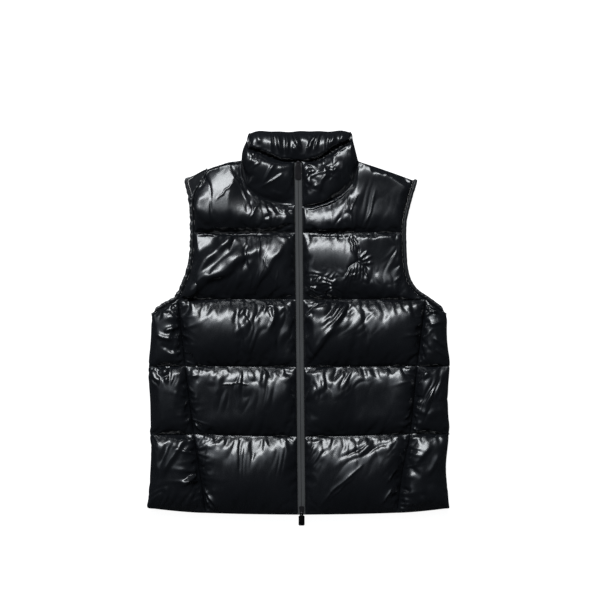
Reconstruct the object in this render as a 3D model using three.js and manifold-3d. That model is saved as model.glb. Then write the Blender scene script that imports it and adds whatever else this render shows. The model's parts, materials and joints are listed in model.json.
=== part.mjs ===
// A sleeveless quilted vest with a stand collar, zipped up and laid flat on its back.
// Millimetres. +X to the wearer's left, +Y from hem to collar, +Z up from the table.
// The pieces are drawn with y = 0 at the hem, and the vest is then centred on its footprint.
import * as THREE from "three";
import { mergeVertices } from "three/addons/utils/BufferGeometryUtils.js";
import Module from "manifold-3d";

const wasm = await Module();
wasm.setup();

// Body sizes
const HALF_CHEST = 280; // half of the width from side fold to side fold
const NECK_HALF = 110; // from the centre to the neck point
const NECK_Y = 660; // neck point above the hem, the body length
const NECK_DROP = 84; // front neck below the neck point
const BACK_NECK_DROP = 22;
const ARMPIT_Y = 400; // the long side seams end at the armhole here
const ARMPIT_FOLD_Y = 374; // the armhole at the side fold
const BINDING_WIDTH = 8;

// Thickness of the layers
const MID_Z = 18; // the back lies below this height, the fronts above it
const SEAM_GAP = 0.3; // between neighbouring pieces
const SEAM_THICK = 4; // a quilted wall where it is stitched down
const ZIP_EDGE_THICK = 7; // a front along the zip
const EDGE_THICK = 3.5; // a hem, armhole or neck edge
const PUFF = 28; // a channel at its fullest
const SIDE_PUFF = 24;
const COLLAR_PUFF = 22;
const ROUND_REACH = 42; // a channel rises to its full height over this distance
const SIDE_ROUND_REACH = 25;
const COLLAR_ROUND_REACH = 30;
const LIFT_REACH = 24; // the underside leaves the table this near an edge
const FOLD_THICK = 15; // a side panel's wall at the side fold
const FOLD_PINCH = 0.55; // the share of it left at a quilting seam
const COLLAR_FOLD_THICK = 12;
const COLLAR_RIM_THICK = 5;
const COLLAR_INSIDE_RISE = 8; // the back collar's inner face above the fronts' lowest level

// Gathers along the quilting seams; their pitch drifts, and each seam starts at another phase
const GATHER = { pitch: 19, height: 1.7, reach: 9, drift: 0.9, driftPitch: 195, phase: 1.7 };
const FULL_CHANNEL = 100; // a channel this high or higher is stuffed to its full thickness
const DOME = { flatness: 2.6, steepness: 0.55 };
const FREE_RISE = 0.6; // a wall this far risen has its full gathers

// Zip
const ZIP_HALF = 7.2; // half of the width that shows
const ZIP_LEAN = { top: -3.5, bottom: 3 }; // the zip's centre line at collar and hem
const TAPE_Z = MID_Z + 5;
const TAPE_THICK = 1.2;
const TAPE_TOP_Y = 656;
const TAPE_END_Y = -2;

// Quilting seams from the hem up: height at the centre, and how far they rise towards the sides
const SEAMS = [
  { y: -2, rise: 8 },
  { y: 144, rise: 9 },
  { y: 274, rise: 3 },
  { y: ARMPIT_Y, rise: 0 },
  { y: 525, rise: 0 },
];
const CHEST = SEAMS.length - 1; // the channel above the highest seam
const ROW_SHARES = [0, 0.07, 0.2, 0.45, 0.75, 0.92]; // rows of points in each channel
const BACK_ROW_SHARES = [0, 0.12, 0.5, 0.88];

// The side fold of the vest, by height
const SIDE_FOLD = [
  { y: -2, right: -287, left: 281 },
  { y: 35, right: -284, left: 277 },
  { y: 90, right: -281, left: 274 },
  { y: 150, right: -281, left: 280 },
  { y: 210, right: -280, left: 276 },
  { y: 275, right: -283, left: 280 },
  { y: 330, right: -279, left: 275 },
  { y: 384, right: -278, left: 274 },
];
// The long seams between fronts and side panels, and the same behind
const LONG_SEAM = [
  { y: -2, right: -176, left: 181 },
  { y: 75, right: -187, left: 191 },
  { y: 150, right: -199, left: 206 },
  { y: 275, right: -215, left: 219 },
  { y: ARMPIT_Y, right: -229, left: 235 },
];
// Panel edges along the armholes; the right front is drawn in at its shoulder
const ARMHOLE = [
  { y: ARMPIT_Y, right: -229, left: 235, backRight: -229 },
  { y: 412, right: -222, left: 217, backRight: -222 },
  { y: 430, right: -214, left: 203, backRight: -214 },
  { y: 455, right: -205, left: 195, backRight: -205 },
  { y: 490, right: -199, left: 192, backRight: -199 },
  { y: 545, right: -198, left: 192, backRight: -198 },
  { y: 578, right: -199, left: 199, backRight: -200 },
  { y: 600, right: -195, left: 205, backRight: -204 },
  { y: 623, right: -184, left: 212, backRight: -210 },
  { y: 641, right: -174, left: 214, backRight: -212 },
];
const TIP = {
  right: { x: -174, y: 641 },
  left: { x: 212, y: 623 },
  backRight: { x: -210, y: 623 },
};
// Shoulder line, by distance from the centre
const SHOULDER = [
  { x: NECK_HALF, right: 660, left: 658 },
  { x: 138, right: 655, left: 649 },
  { x: 176, right: 642, left: 636 },
  { x: 214, right: 621, left: 622 },
];
const NECK_ROUND = { right: 2.4, left: 2 }; // exponent of each half of the neck curve
const BACK_NECK_ROUND = 2.6;
// Top edge of the collar, by share of the way from the zip to the side fold
const FRONT_RIM = [
  { share: 0, rightX: -10.7, rightY: 658, leftX: 3.7, leftY: 658 },
  { share: 0.25, rightX: -30, rightY: 658, leftX: 30, leftY: 659 },
  { share: 0.5, rightX: -53, rightY: 665, leftX: 54, leftY: 670 },
  { share: 0.75, rightX: -76, rightY: 674, leftX: 75, leftY: 684 },
  { share: 1, rightX: -94, rightY: 681, leftX: 93, leftY: 694 },
];
const BACK_RIM_Y = 715;
const COLLAR_FOLD = [
  { share: 0, right: -109.6, left: 109.6 },
  { share: 0.5, right: -107, left: 104 },
  { share: 1, right: -99, left: 98 },
];

// The largest creases: a soft ridge from one point to the other
const CREASES = [
  { x0: -206, y0: 418, x1: -135, y1: 466, width: 9, height: 5 },
  { x0: -184, y0: 451, x1: -134, y1: 514, width: 8, height: 4 },
  { x0: -77, y0: 439, x1: -34, y1: 496, width: 8, height: 3 },
  { x0: 34, y0: 556, x1: 100, y1: 598, width: 10, height: 4 },
  { x0: 34, y0: 441, x1: 84, y1: 456, width: 8, height: 4 },
  { x0: 19, y0: 301, x1: 82, y1: 373, width: 9, height: 4 },
  { x0: 33, y0: 15, x1: 110, y1: 90, width: 8, height: 4 },
  { x0: 13, y0: 212, x1: 53, y1: 247, width: 8, height: 3 },
];
const CHEST_PINCH = { x: 108, y: 472, radius: 13, depth: 12 };

const SIDES = { right: -1, left: 1 };
const lerp = THREE.MathUtils.lerp;
const point = (x, y, z) => new THREE.Vector3(x, y, z);

// Reads a column of a table on a smooth curve through its rows
function read(table, key, column, at) {
  const last = table.length - 1;
  let i = 0;
  while (i < last - 1 && at > table[i + 1][key]) i += 1;
  const slope = (j) => {
    const a = table[Math.max(j - 1, 0)];
    const b = table[Math.min(j + 1, last)];
    return (b[column] - a[column]) / (b[key] - a[key]);
  };
  const [p, q] = [table[i], table[i + 1]];
  const step = q[key] - p[key];
  const t = THREE.MathUtils.clamp((at - p[key]) / step, 0, 1);
  const bend = t * t * (3 - 2 * t);
  const into = t * (1 - t) * (1 - t) * slope(i) * step;
  const out = t * t * (t - 1) * slope(i + 1) * step;
  return lerp(p[column], q[column], bend) + into + out;
}

const zipX = (y) => lerp(ZIP_LEAN.bottom, ZIP_LEAN.top, y / NECK_Y);
const seamY = (seam, x) => SEAMS[seam].y + SEAMS[seam].rise * (x / HALF_CHEST) ** 2;

// Rises steeply from 0 at an edge to 1 at full reach, as a stuffed wall does
function roundUp(distance, reach) {
  const left = 1 - THREE.MathUtils.clamp(distance / reach, 0, 1);
  return Math.sqrt(1 - left * left);
}

// The cross-section of a stuffed channel, 0 at both seams
const dome = (share) => (1 - Math.abs(2 * share - 1) ** DOME.flatness) ** DOME.steepness;

// Gathers stand highest a little way off the seam
function gather(x, distance, seam) {
  const drift = GATHER.drift * Math.sin((2 * Math.PI * x) / GATHER.driftPitch + seam);
  const wave = Math.sin((2 * Math.PI * x) / GATHER.pitch + GATHER.phase * seam + drift);
  const near = distance / GATHER.reach;
  return GATHER.height * wave * near * Math.exp(1 - near);
}

function crease(x, y) {
  let height = 0;
  for (const c of CREASES) {
    const along = new THREE.Vector2(c.x1 - c.x0, c.y1 - c.y0);
    const from = new THREE.Vector2(x - c.x0, y - c.y0);
    const t = THREE.MathUtils.clamp(from.dot(along) / along.lengthSq(), 0, 1);
    const away = from.distanceTo(along.multiplyScalar(t)) / c.width;
    height += c.height * Math.exp(-away * away);
  }
  const pinch = Math.hypot(x - CHEST_PINCH.x, y - CHEST_PINCH.y) / CHEST_PINCH.radius;
  return height - CHEST_PINCH.depth * Math.exp(-pinch * pinch);
}

// Thickness of a quilted wall at a point of a channel
function quilted(x, y, channel, share, low, high, edge, fullness) {
  const fill = Math.min(1, Math.sqrt((high - low) / FULL_CHANNEL));
  const rise = dome(share) * edge;
  const seam = share < 0.5 ? channel : channel + 1;
  const distance = Math.min(y - low, high - y);
  const free = THREE.MathUtils.smoothstep(rise, 0, FREE_RISE);
  return SEAM_THICK + (fullness - SEAM_THICK) * fill * rise + free * gather(x, distance, seam);
}

// How high the underside is off the table this far from a free edge
function lift(distance) {
  return (MID_Z - SEAM_GAP - EDGE_THICK) * (1 - roundUp(distance, LIFT_REACH));
}

// Closed geometry from points and triangles, its faces turned outwards
function closed(points, triangles) {
  let volume = 0;
  for (const [a, b, c] of triangles) {
    volume += points[a].dot(points[b].clone().cross(points[c]));
  }
  const index = triangles.flatMap(([a, b, c]) => (volume > 0 ? [a, b, c] : [a, c, b]));
  const geometry = new THREE.BufferGeometry().setFromPoints(points);
  geometry.setIndex(index);
  return geometry;
}

// Fills a loop of points, seen along the axis that it faces most
function fillLoop(loop) {
  const normal = point(0, 0, 0);
  loop.forEach((p, i) => normal.add(p.clone().cross(loop[(i + 1) % loop.length])));
  const size = normal.toArray().map(Math.abs);
  const [u, v] = [["y", "z"], ["x", "z"], ["x", "y"]][size.indexOf(Math.max(...size))];
  return THREE.ShapeUtils.triangulateShape(loop.map((p) => new THREE.Vector2(p[u], p[v])), []);
}

// A solid through closed rings of the same number of points, filled at both ends unless it is a loop
function loft(rings, looped = false) {
  const count = rings[0].length;
  const points = rings.flat();
  const triangles = [];
  for (let r = 0; r < (looped ? rings.length : rings.length - 1); r += 1) {
    const next = ((r + 1) % rings.length) * count;
    for (let i = 0; i < count; i += 1) {
      const j = (i + 1) % count;
      triangles.push([r * count + i, r * count + j, next + j], [r * count + i, next + j, next + i]);
    }
  }
  if (looped) return closed(points, triangles);
  const first = fillLoop(rings[0]);
  const last = fillLoop(rings.at(-1));
  const start = (rings.length - 1) * count;
  // Whichever way the fill came out, the first end winds against the wall and the last one with it
  const firstForward = windsForward(first, count);
  const lastForward = windsForward(last, count);
  for (const [a, b, c] of first) triangles.push(firstForward ? [a, c, b] : [a, b, c]);
  for (const [a, b, c] of last.map((t) => t.map((i) => start + i))) {
    triangles.push(lastForward ? [a, b, c] : [a, c, b]);
  }
  return closed(points, triangles);
}

// Whether a filled loop's triangles run the same way round as the loop itself
function windsForward(fill, count) {
  return fill.some((t) => t.some((a, i) => (a + 1) % count === t[(i + 1) % 3]));
}

// A panel from a grid of outer points over a plain level face
function panel(grid, levelZ) {
  const [rows, columns] = [grid.length, grid[0].length];
  const at = (r, c) => r * columns + c;
  const points = grid.flat();
  const triangles = [];
  for (let r = 0; r + 1 < rows; r += 1) {
    for (let c = 0; c + 1 < columns; c += 1) {
      const [a, b, d, e] = [at(r, c), at(r, c + 1), at(r + 1, c), at(r + 1, c + 1)];
      triangles.push([a, b, e], [a, e, d]);
    }
  }
  const border = [];
  for (let c = 0; c < columns - 1; c += 1) border.push(at(0, c));
  for (let r = 0; r < rows - 1; r += 1) border.push(at(r, columns - 1));
  for (let c = columns - 1; c > 0; c -= 1) border.push(at(rows - 1, c));
  for (let r = rows - 1; r > 0; r -= 1) border.push(at(r, 0));
  const base = points.length;
  const level = border.map((i) => point(points[i].x, points[i].y, levelZ));
  const count = border.length;
  for (let i = 0; i < count; i += 1) {
    const next = (i + 1) % count;
    triangles.push([border[i], base + i, base + next], [border[i], base + next, border[next]]);
  }
  const fill = fillLoop(level);
  const forward = windsForward(fill, count);
  for (const [a, b, c] of fill.map((t) => t.map((i) => base + i))) {
    triangles.push(forward ? [a, c, b] : [a, b, c]);
  }
  return closed([...points, ...level], triangles);
}

// The neck seam of a front, from the zip to the neck point
function neckCurve(side, steps) {
  const power = 2 / NECK_ROUND[side];
  const top = read(SHOULDER, "x", side, NECK_HALF);
  const points = [];
  for (let i = 0; i <= steps; i += 1) {
    const zipEdge = zipX(NECK_Y - NECK_DROP) + SIDES[side] * ZIP_HALF;
    const start = Math.acos((Math.abs(zipEdge) / NECK_HALF) ** (1 / power));
    const angle = start * (1 - i / steps);
    const x = i === 0 ? zipEdge : SIDES[side] * NECK_HALF * Math.cos(angle) ** power;
    points.push(new THREE.Vector2(x, top - NECK_DROP * Math.sin(angle) ** power));
  }
  return points;
}

// The back neck seam, from the right neck point to the left one
function backNeckY(x) {
  const top = read(SHOULDER, "x", x < 0 ? "right" : "left", NECK_HALF);
  return top - BACK_NECK_DROP * (1 - Math.min(1, Math.abs(x / NECK_HALF)) ** BACK_NECK_ROUND);
}

// The shoulder line, from the neck point to a tip
function shoulderLine(side, tip, steps) {
  const points = [];
  for (let i = 1; i <= steps; i += 1) {
    const x = lerp(SIDES[side] * NECK_HALF, tip.x, i / steps);
    const y = i === steps ? tip.y : read(SHOULDER, "x", side, Math.abs(x));
    points.push(new THREE.Vector2(x, y));
  }
  return points;
}

// Edge of a panel on its outer side: the long seam, and the armhole above it
function outerX(edge, y) {
  if (y > ARMPIT_Y) return read(ARMHOLE, "y", edge, y);
  return read(LONG_SEAM, "y", edge === "backRight" ? "right" : edge, y);
}

// Rows of plan points of a panel between two edges, from the hem to the points of its top edge
function planRows(fromX, toX, tops, rowShares) {
  const rows = [];
  for (let channel = 0; channel <= CHEST; channel += 1) {
    const last = channel === CHEST;
    for (const share of last ? [...rowShares, 1] : rowShares) {
      const row = tops.map((top, i) => {
        const u = i / (tops.length - 1);
        const edgeY = (edge, x) => lerp(seamY(channel, x), last ? edge.y : seamY(channel + 1, x), share);
        const from = fromX(edgeY(tops[0], fromX(SEAMS[channel].y)));
        const to = toX(edgeY(tops.at(-1), toX(SEAMS[channel].y)));
        let x = lerp(from, to, u);
        const low = seamY(channel, x);
        if (last) {
          // Straight up from the seam to the top edge, and as far aside as the panel's own edges are
          const start = fromX(SEAMS[CHEST].y);
          const end = toX(SEAMS[CHEST].y);
          const edges = lerp(lerp(start, tops[0].x, share), lerp(end, tops.at(-1).x, share), u);
          x += lerp(lerp(start, end, u), top.x, share) - edges;
        }
        const high = last ? top.y : seamY(channel + 1, x);
        return { x, y: lerp(low, high, share), low, high, channel, share, from, to };
      });
      rows.push(row);
    }
  }
  return rows;
}

const NECK_STEPS = 18;
const SHOULDER_STEPS = 16;

function frontPlan(side) {
  const neck = neckCurve(side, NECK_STEPS);
  const tops = [...neck, ...shoulderLine(side, TIP[side], SHOULDER_STEPS)];
  const zipEdge = (y) => zipX(y) + SIDES[side] * ZIP_HALF;
  return planRows(zipEdge, (y) => outerX(side, y) - SIDES[side] * SEAM_GAP, tops, ROW_SHARES);
}

function front(side) {
  const grid = frontPlan(side).map((row) =>
    row.map((p) => {
      const fromZip = Math.abs(p.x - p.from);
      const edge = roundUp(fromZip, ROUND_REACH) * roundUp(Math.abs(p.to - p.x), ROUND_REACH);
      const wall = quilted(p.x, p.y, p.channel, p.share, p.low, p.high, edge, PUFF);
      const creased = wall + dome(p.share) * edge * crease(p.x, p.y);
      const besideZip = (ZIP_EDGE_THICK - SEAM_THICK) * Math.exp(-fromZip / GATHER.reach);
      return point(p.x, p.y, MID_Z + SEAM_GAP + creased + besideZip);
    }),
  );
  return panel(grid, MID_Z + SEAM_GAP);
}

const BACK_NECK_STEPS = 8; // in each half
const BACK_SHOULDER_STEPS = 4;

function backPlan() {
  const half = (side, edge) => {
    const points = [];
    for (let i = 1; i <= BACK_NECK_STEPS; i += 1) {
      const x = SIDES[side] * NECK_HALF * (i / BACK_NECK_STEPS);
      points.push(new THREE.Vector2(x, backNeckY(x)));
    }
    return [...points, ...shoulderLine(side, TIP[edge], BACK_SHOULDER_STEPS)];
  };
  const centre = new THREE.Vector2(0, backNeckY(0));
  const tops = [...half("right", "backRight").reverse(), centre, ...half("left", "left")];
  const rightX = (y) => outerX("backRight", y) + SEAM_GAP;
  const leftX = (y) => outerX("left", y) - SEAM_GAP;
  return planRows(rightX, leftX, tops, BACK_ROW_SHARES);
}

function back() {
  const top = backPlan().at(-1);
  const topY = (x) => {
    const i = top.findIndex((p) => p.x >= x);
    return i < 0 ? top.at(-1).y : top[i].y;
  };
  const grid = backPlan().map((row) =>
    row.map((p) => {
      const armhole = p.y > ARMPIT_Y ? Math.min(Math.abs(p.x - p.from), Math.abs(p.to - p.x)) : LIFT_REACH;
      const above = p.channel === CHEST ? Math.min(p.high - p.y, topY(p.x) - p.y) : LIFT_REACH;
      const away = Math.min(p.y - seamY(0, p.x), Math.max(armhole, 0), Math.max(above, 0));
      return point(p.x, p.y, lift(away));
    }),
  );
  return panel(grid, MID_Z - SEAM_GAP);
}

// Height of a side panel's top edge, which slopes down from the long seam to the side fold
const sideTopY = (share) => lerp(ARMPIT_Y, ARMPIT_FOLD_Y, share);

const SIDE_TOP = CHEST - 2; // the channel that ends at the armhole
const SIDE_STEPS = 9;
const FOLD_STEPS = 6;
const UNDER_STEPS = 3;

// One row of a side panel: where it leaves the long seam, and where it folds
function sideRow(side, channel, share) {
  const seamX = outerX(side, SEAMS[channel].y);
  const across = (s) => {
    const low = seamY(channel, seamX);
    const high = channel === SIDE_TOP ? sideTopY(s) : seamY(channel + 1, outerX(side, SEAMS[channel + 1].y));
    return { y: lerp(low, high, share), low, high };
  };
  const atSeam = across(0);
  const atFold = across(1);
  const fromHem = roundUp(atFold.y - seamY(0, HALF_CHEST), LIFT_REACH);
  const edges = Math.min(fromHem, roundUp(ARMPIT_FOLD_Y - atFold.y, LIFT_REACH));
  const pinched = lerp(FOLD_PINCH, 1, dome(share));
  const thick = lerp(EDGE_THICK, FOLD_THICK * pinched, edges);
  const foldX = read(SIDE_FOLD, "y", side, atFold.y) - SIDES[side] * thick;
  return { atSeam, atFold, seamX: outerX(side, atSeam.y), foldX, thick, across };
}

function sidePanel(side) {
  const rings = [];
  for (let channel = 0; channel <= SIDE_TOP; channel += 1) {
    const shares = channel === SIDE_TOP ? [...ROW_SHARES, 1] : ROW_SHARES;
    for (const share of shares) {
      const row = sideRow(side, channel, share);
      const plan = (s) => ({ x: lerp(row.seamX, row.foldX, s), ...row.across(s) });
      const topThick = (s) => {
        const p = plan(s);
        const edge = roundUp(Math.abs(p.x - row.seamX), SIDE_ROUND_REACH);
        const fullness = lerp(SIDE_PUFF, FOLD_THICK, s * s);
        return quilted(p.x, p.y, channel, share, p.low, p.high, edge, fullness);
      };
      const under = (s) => {
        const p = plan(s);
        return lift(Math.min(p.y - seamY(0, p.x), sideTopY(s) - p.y));
      };
      const ring = [];
      for (let i = 0; i <= SIDE_STEPS; i += 1) {
        const s = i / SIDE_STEPS;
        const p = plan(s);
        ring.push(point(p.x, p.y, MID_Z + SEAM_GAP + topThick(s)));
      }
      for (let i = 1; i < FOLD_STEPS; i += 1) {
        const turn = i / FOLD_STEPS;
        const up = Math.cos(Math.PI * turn);
        const reach = up > 0 ? topThick(1) + SEAM_GAP : MID_Z - under(1);
        const bulge = row.thick * Math.sin(Math.PI * turn);
        const beyond = row.across(1 + bulge / Math.abs(row.foldX - row.seamX));
        ring.push(point(row.foldX + SIDES[side] * bulge, beyond.y, MID_Z + up * reach));
      }
      for (let i = UNDER_STEPS; i >= 0; i -= 1) {
        const s = i / UNDER_STEPS;
        const p = plan(s);
        ring.push(point(p.x, p.y, under(s)));
      }
      ring.push(point(row.seamX, row.atSeam.y, MID_Z - SEAM_GAP));
      ring.push(point(row.foldX, row.atFold.y, MID_Z - SEAM_GAP));
      ring.push(point(row.foldX, row.atFold.y, MID_Z + SEAM_GAP));
      ring.push(point(row.seamX, row.atSeam.y, MID_Z + SEAM_GAP));
      rings.push(ring);
    }
  }
  return loft(rings);
}

// Outer and inner points up the collar, as shares of its height
const COLLAR_OUTER = [0, 0.08, 0.25, 0.5, 0.75, 0.92, 1];
const COLLAR_INNER = [1, 0.9, 0.7, 0.45, 0.2, 0];
const INSIDE_SHOWS = [1, 0.85, 0.5, 0.15, 0]; // the same rows where the inside of the back shows
const COLLAR_BACK_STEPS = 7;
const RIM_CLEARANCE = 2.5;
const COLLAR_GAP = 0.5;

// Points of a front neck seam, moved off the front's edge
function collarBase(side) {
  const neck = neckCurve(side, NECK_STEPS);
  return neck.map((p, i) => {
    const along = neck[Math.min(i + 1, NECK_STEPS)].clone().sub(neck[Math.max(i - 1, 0)]).normalize();
    const inward = new THREE.Vector2(-along.y, along.x).multiplyScalar(SIDES[side] * SEAM_GAP);
    return i === 0 ? p.clone().setY(p.y + SEAM_GAP) : p.clone().add(inward);
  });
}

const rimPoint = (side, share) => ({
  x: read(FRONT_RIM, "share", `${side}X`, share),
  y: read(FRONT_RIM, "share", `${side}Y`, share),
});

// How high the front rim of the collar lies at this distance from the centre
function rimYAt(side, x) {
  const [start, end] = [rimPoint(side, 0), rimPoint(side, 1)];
  return rimPoint(side, THREE.MathUtils.clamp((x - start.x) / (end.x - start.x), 0, 1)).y;
}

const collarThick = (share) => lerp(COLLAR_FOLD_THICK, COLLAR_RIM_THICK, share);

// Where the collar turns round at a share of its height
function collarTurnX(side, share) {
  return read(COLLAR_FOLD, "share", side, share) - SIDES[side] * collarThick(share);
}

// Wall of a front collar half over the plain inside
function collarWall(x, fromZip, share) {
  const edge = roundUp(fromZip, COLLAR_ROUND_REACH);
  const rise = dome(share) * edge;
  const height = NECK_DROP * share;
  const free = THREE.MathUtils.smoothstep(rise, 0, FREE_RISE);
  const gathers = free * gather(x, Math.min(height, NECK_DROP - height), 0);
  const besideZip = (ZIP_EDGE_THICK - COLLAR_RIM_THICK) * Math.exp(-fromZip / GATHER.reach);
  return COLLAR_RIM_THICK + (COLLAR_PUFF - COLLAR_RIM_THICK) * rise + gathers + besideZip;
}

// Rings of one half of the collar, from the zip round the side to the centre back
function collarHalf(side) {
  const s = SIDES[side];
  const rings = [];
  const turn = Math.abs(collarTurnX(side, 0));
  const base = collarBase(side);
  const rimEnd = rimPoint(side, 1);
  const baseUnder = (x) => backNeckY(x) + COLLAR_GAP;
  const under = (share, height) => lift(Math.min(share, 1 - share) * height);
  const ring = (outer, inner) => rings.push([...COLLAR_OUTER.map(outer), ...COLLAR_INNER.map(inner)]);

  for (const b of base.filter((p) => Math.abs(p.x) < turn)) {
    const start = Math.abs(base[0].x);
    const t = rimPoint(side, (Math.abs(b.x) - start) / (turn - start));
    const plan = (share) => point(lerp(b.x, t.x, share), lerp(b.y, t.y, share), 0);
    ring(
      (share) => {
        const p = plan(share);
        const fromZip = Math.abs(p.x - zipX(p.y)) - ZIP_HALF;
        return p.setZ(MID_Z + SEAM_GAP + collarWall(p.x, fromZip, share));
      },
      (share) => plan(share).setZ(MID_Z + SEAM_GAP),
    );
  }

  const backShares = (x) => {
    const [low, high] = [baseUnder(x), BACK_RIM_Y];
    const seen = rimYAt(side, x) + RIM_CLEARANCE;
    return [...INSIDE_SHOWS.map((share) => (lerp(seen, high, share) - low) / (high - low)), 0];
  };
  const turnShares = backShares(s * turn);
  const turned = base.filter((p) => Math.abs(p.x) >= turn);
  const quarter = turned.map((b) => Math.asin(Math.min(1, (Math.abs(b.x) - turn) / COLLAR_FOLD_THICK)));
  const angles = [...quarter.slice(0, -1), Math.PI / 2, ...[0.68, 0.84].map((part) => Math.PI * part)];
  angles.forEach((angle, i) => {
    const around = angle / Math.PI;
    const x0 = collarTurnX(side, 0) + s * collarThick(0) * Math.sin(angle);
    const b = { x: x0, y: i < turned.length ? turned[i].y : baseUnder(x0) };
    const topY = lerp(rimEnd.y, BACK_RIM_Y, THREE.MathUtils.smoothstep(around, 0, 1));
    ring(
      (share) => {
        const x = collarTurnX(side, share) + s * collarThick(share) * Math.sin(angle);
        const wall = SEAM_GAP + collarWall(x, NECK_HALF, share);
        const reach = angle < Math.PI / 2 ? wall : MID_Z - under(share, topY - b.y);
        return point(share === 0 ? b.x : x, lerp(b.y, topY, share), MID_Z + reach * Math.cos(angle));
      },
      (share, j) => {
        const height = lerp(share, turnShares[j], around);
        return point(collarTurnX(side, share), lerp(b.y, topY, height), MID_Z + SEAM_GAP * Math.cos(angle));
      },
    );
  });

  for (let i = 0; i <= COLLAR_BACK_STEPS; i += 1) {
    const part = 1 - i / COLLAR_BACK_STEPS;
    const x = s * turn * part;
    const low = baseUnder(x);
    const height = BACK_RIM_Y - low;
    const topX = collarTurnX(side, 1) * part;
    const shares = backShares(x);
    const raise = roundUp(s * (s * turn - x), COLLAR_FOLD_THICK);
    ring(
      (share) => point(lerp(x, topX, share), low + height * share, under(share, height)),
      (share, j) => {
        const lifted = COLLAR_INSIDE_RISE * raise * dome(INSIDE_SHOWS[j] ?? 0);
        const h = shares[j];
        return point(lerp(x, topX, h), low + height * h, MID_Z - SEAM_GAP + lifted);
      },
    );
  }
  return rings;
}

function collar() {
  const left = collarHalf("left").slice(0, -1).reverse();
  return loft([...collarHalf("right"), ...left]);
}

const TAPE_STEPS = 16;

function zipTape(side) {
  const rings = [];
  for (let i = 0; i <= TAPE_STEPS; i += 1) {
    const y = lerp(TAPE_END_Y, TAPE_TOP_Y, i / TAPE_STEPS);
    const inner = zipX(y) + SIDES[side] * (SEAM_GAP / 2);
    const outer = zipX(y) + SIDES[side] * (ZIP_HALF - SEAM_GAP);
    const corners = [[inner, 0], [outer, 0], [outer, TAPE_THICK], [inner, TAPE_THICK]];
    rings.push(corners.map(([x, up]) => point(x, y, TAPE_Z + up)));
  }
  return loft(rings);
}

// Binding round an armhole
const BINDING = { gap: 0.4, width: BINDING_WIDTH, thick: 3.8, wave: 0.9, wavePitch: 24, step: 8 };

// Points between the points of a path, no further apart than a step
function divided(path, step) {
  const points = [path[0]];
  for (let i = 1; i < path.length; i += 1) {
    const parts = Math.ceil(path[i].distanceTo(path[i - 1]) / step);
    for (let j = 1; j <= parts; j += 1) points.push(path[i - 1].clone().lerp(path[i], j / parts));
  }
  return points;
}

function armholeBinding(side) {
  const s = SIDES[side];
  const edgeOf = (plan) => plan.map((row) => (side === "right" && plan !== frontRows ? row[0] : row.at(-1)));
  const frontRows = frontPlan(side);
  const above = (p) => p.y > ARMPIT_Y - 1;
  const flat = (p) => new THREE.Vector2(p.x, p.y);
  const sideTop = [];
  const top = sideRow(side, SIDE_TOP, 1);
  for (let i = SIDE_STEPS; i >= 0; i -= 1) {
    const share = i / SIDE_STEPS;
    sideTop.push(new THREE.Vector2(lerp(top.seamX, top.foldX, share), top.across(share).y));
  }
  const upFront = divided([...sideTop, ...edgeOf(frontRows).filter(above).map(flat)], BINDING.step);
  const backRows = backPlan();
  const upBack = [...sideTop, ...edgeOf(backRows).filter(above).map(flat)];
  if (side === "right") upBack.push(...backRows.at(-1).slice(1).filter((p) => p.x < TIP.right.x).map(flat));
  const downBack = divided(upBack, BINDING.step).reverse();

  const stations = [];
  const addRun = (path, angle, forward) => {
    path.forEach((p, i) => {
      const along = path[Math.min(i + 1, path.length - 1)].clone().sub(path[Math.max(i - 1, 0)]).normalize();
      const up = forward ? along : along.negate();
      stations.push({ p, out: new THREE.Vector2(s * up.y, -s * up.x), beyond: up, angle });
    });
  };
  const addTurn = (from, to, beyond, angles) => {
    angles.forEach((angle, i) => {
      const t = (i + 1) / (angles.length + 1);
      const p = from.p.clone().lerp(to.p, t);
      stations.push({ p, out: from.out.clone().lerp(to.out, t).normalize(), beyond, angle });
    });
  };
  addRun(upFront, 0, true);
  const frontCount = stations.length;
  addRun(downBack, Math.PI, false);
  const backRun = stations.splice(frontCount);
  const half = Math.PI / 2;
  addTurn(stations.at(-1), backRun[0], stations.at(-1).beyond, [half / 2, half, 1.5 * half]);
  stations.push(...backRun);
  addTurn(backRun.at(-1), stations[0], stations[0].beyond.clone().negate(), [1.5 * half, half, half / 2]);

  let travelled = 0;
  const rings = stations.map((station, i) => {
    if (i > 0) travelled += station.p.distanceTo(stations[i - 1].p);
    const wave = BINDING.wave * Math.sin((2 * Math.PI * travelled) / BINDING.wavePitch);
    const place = (w, r) => {
      const flatReach = r * Math.sin(station.angle);
      const x = station.p.x + station.out.x * w + station.beyond.x * flatReach;
      const y = station.p.y + station.out.y * w + station.beyond.y * flatReach;
      return point(x, y, MID_Z + r * Math.cos(station.angle));
    };
    const thick = BINDING.thick + wave * 0.5;
    const width = BINDING.width + wave;
    return [
      place(BINDING.gap, SEAM_GAP),
      place(width - 1, SEAM_GAP),
      place(width, thick / 2),
      place(width - 1, thick),
      place(BINDING.gap, thick),
    ];
  });
  return loft(rings, true);
}

// Sliders and pull tabs. A tab's bar turns in an eye that stands on the slider.
const SLIDER = { length: 14, noseWidth: 9.5, tailWidth: 6.5, thick: 2.2, gap: 0.3, corner: 1.5 };
const EYE = { radius: 2.5, hole: 1.5, width: 2, height: 2.4, overhang: 1.3, foot: 3.5, sides: 10 };
const TAB = { length: 33.5, width: 11.4, neckWidth: 6.4, neckLength: 9, thick: 1.4, bar: 0.8 };
const TAB_CORNER = { radius: 3, steps: 5 };
const SLOT = { width: 2.8, end: 5.2 };
const TOP_PIVOT_Y = 657;
const BOTTOM_PIVOT_Y = 1.5;
const TOP_TAB_DROOP = 6; // degrees below level
const BOTTOM_TAB_DROOP = 41;
const BODY_Z = TAPE_Z + TAPE_THICK + SLIDER.gap;
const PIVOT_Z = BODY_Z + SLIDER.thick + EYE.height;

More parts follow.
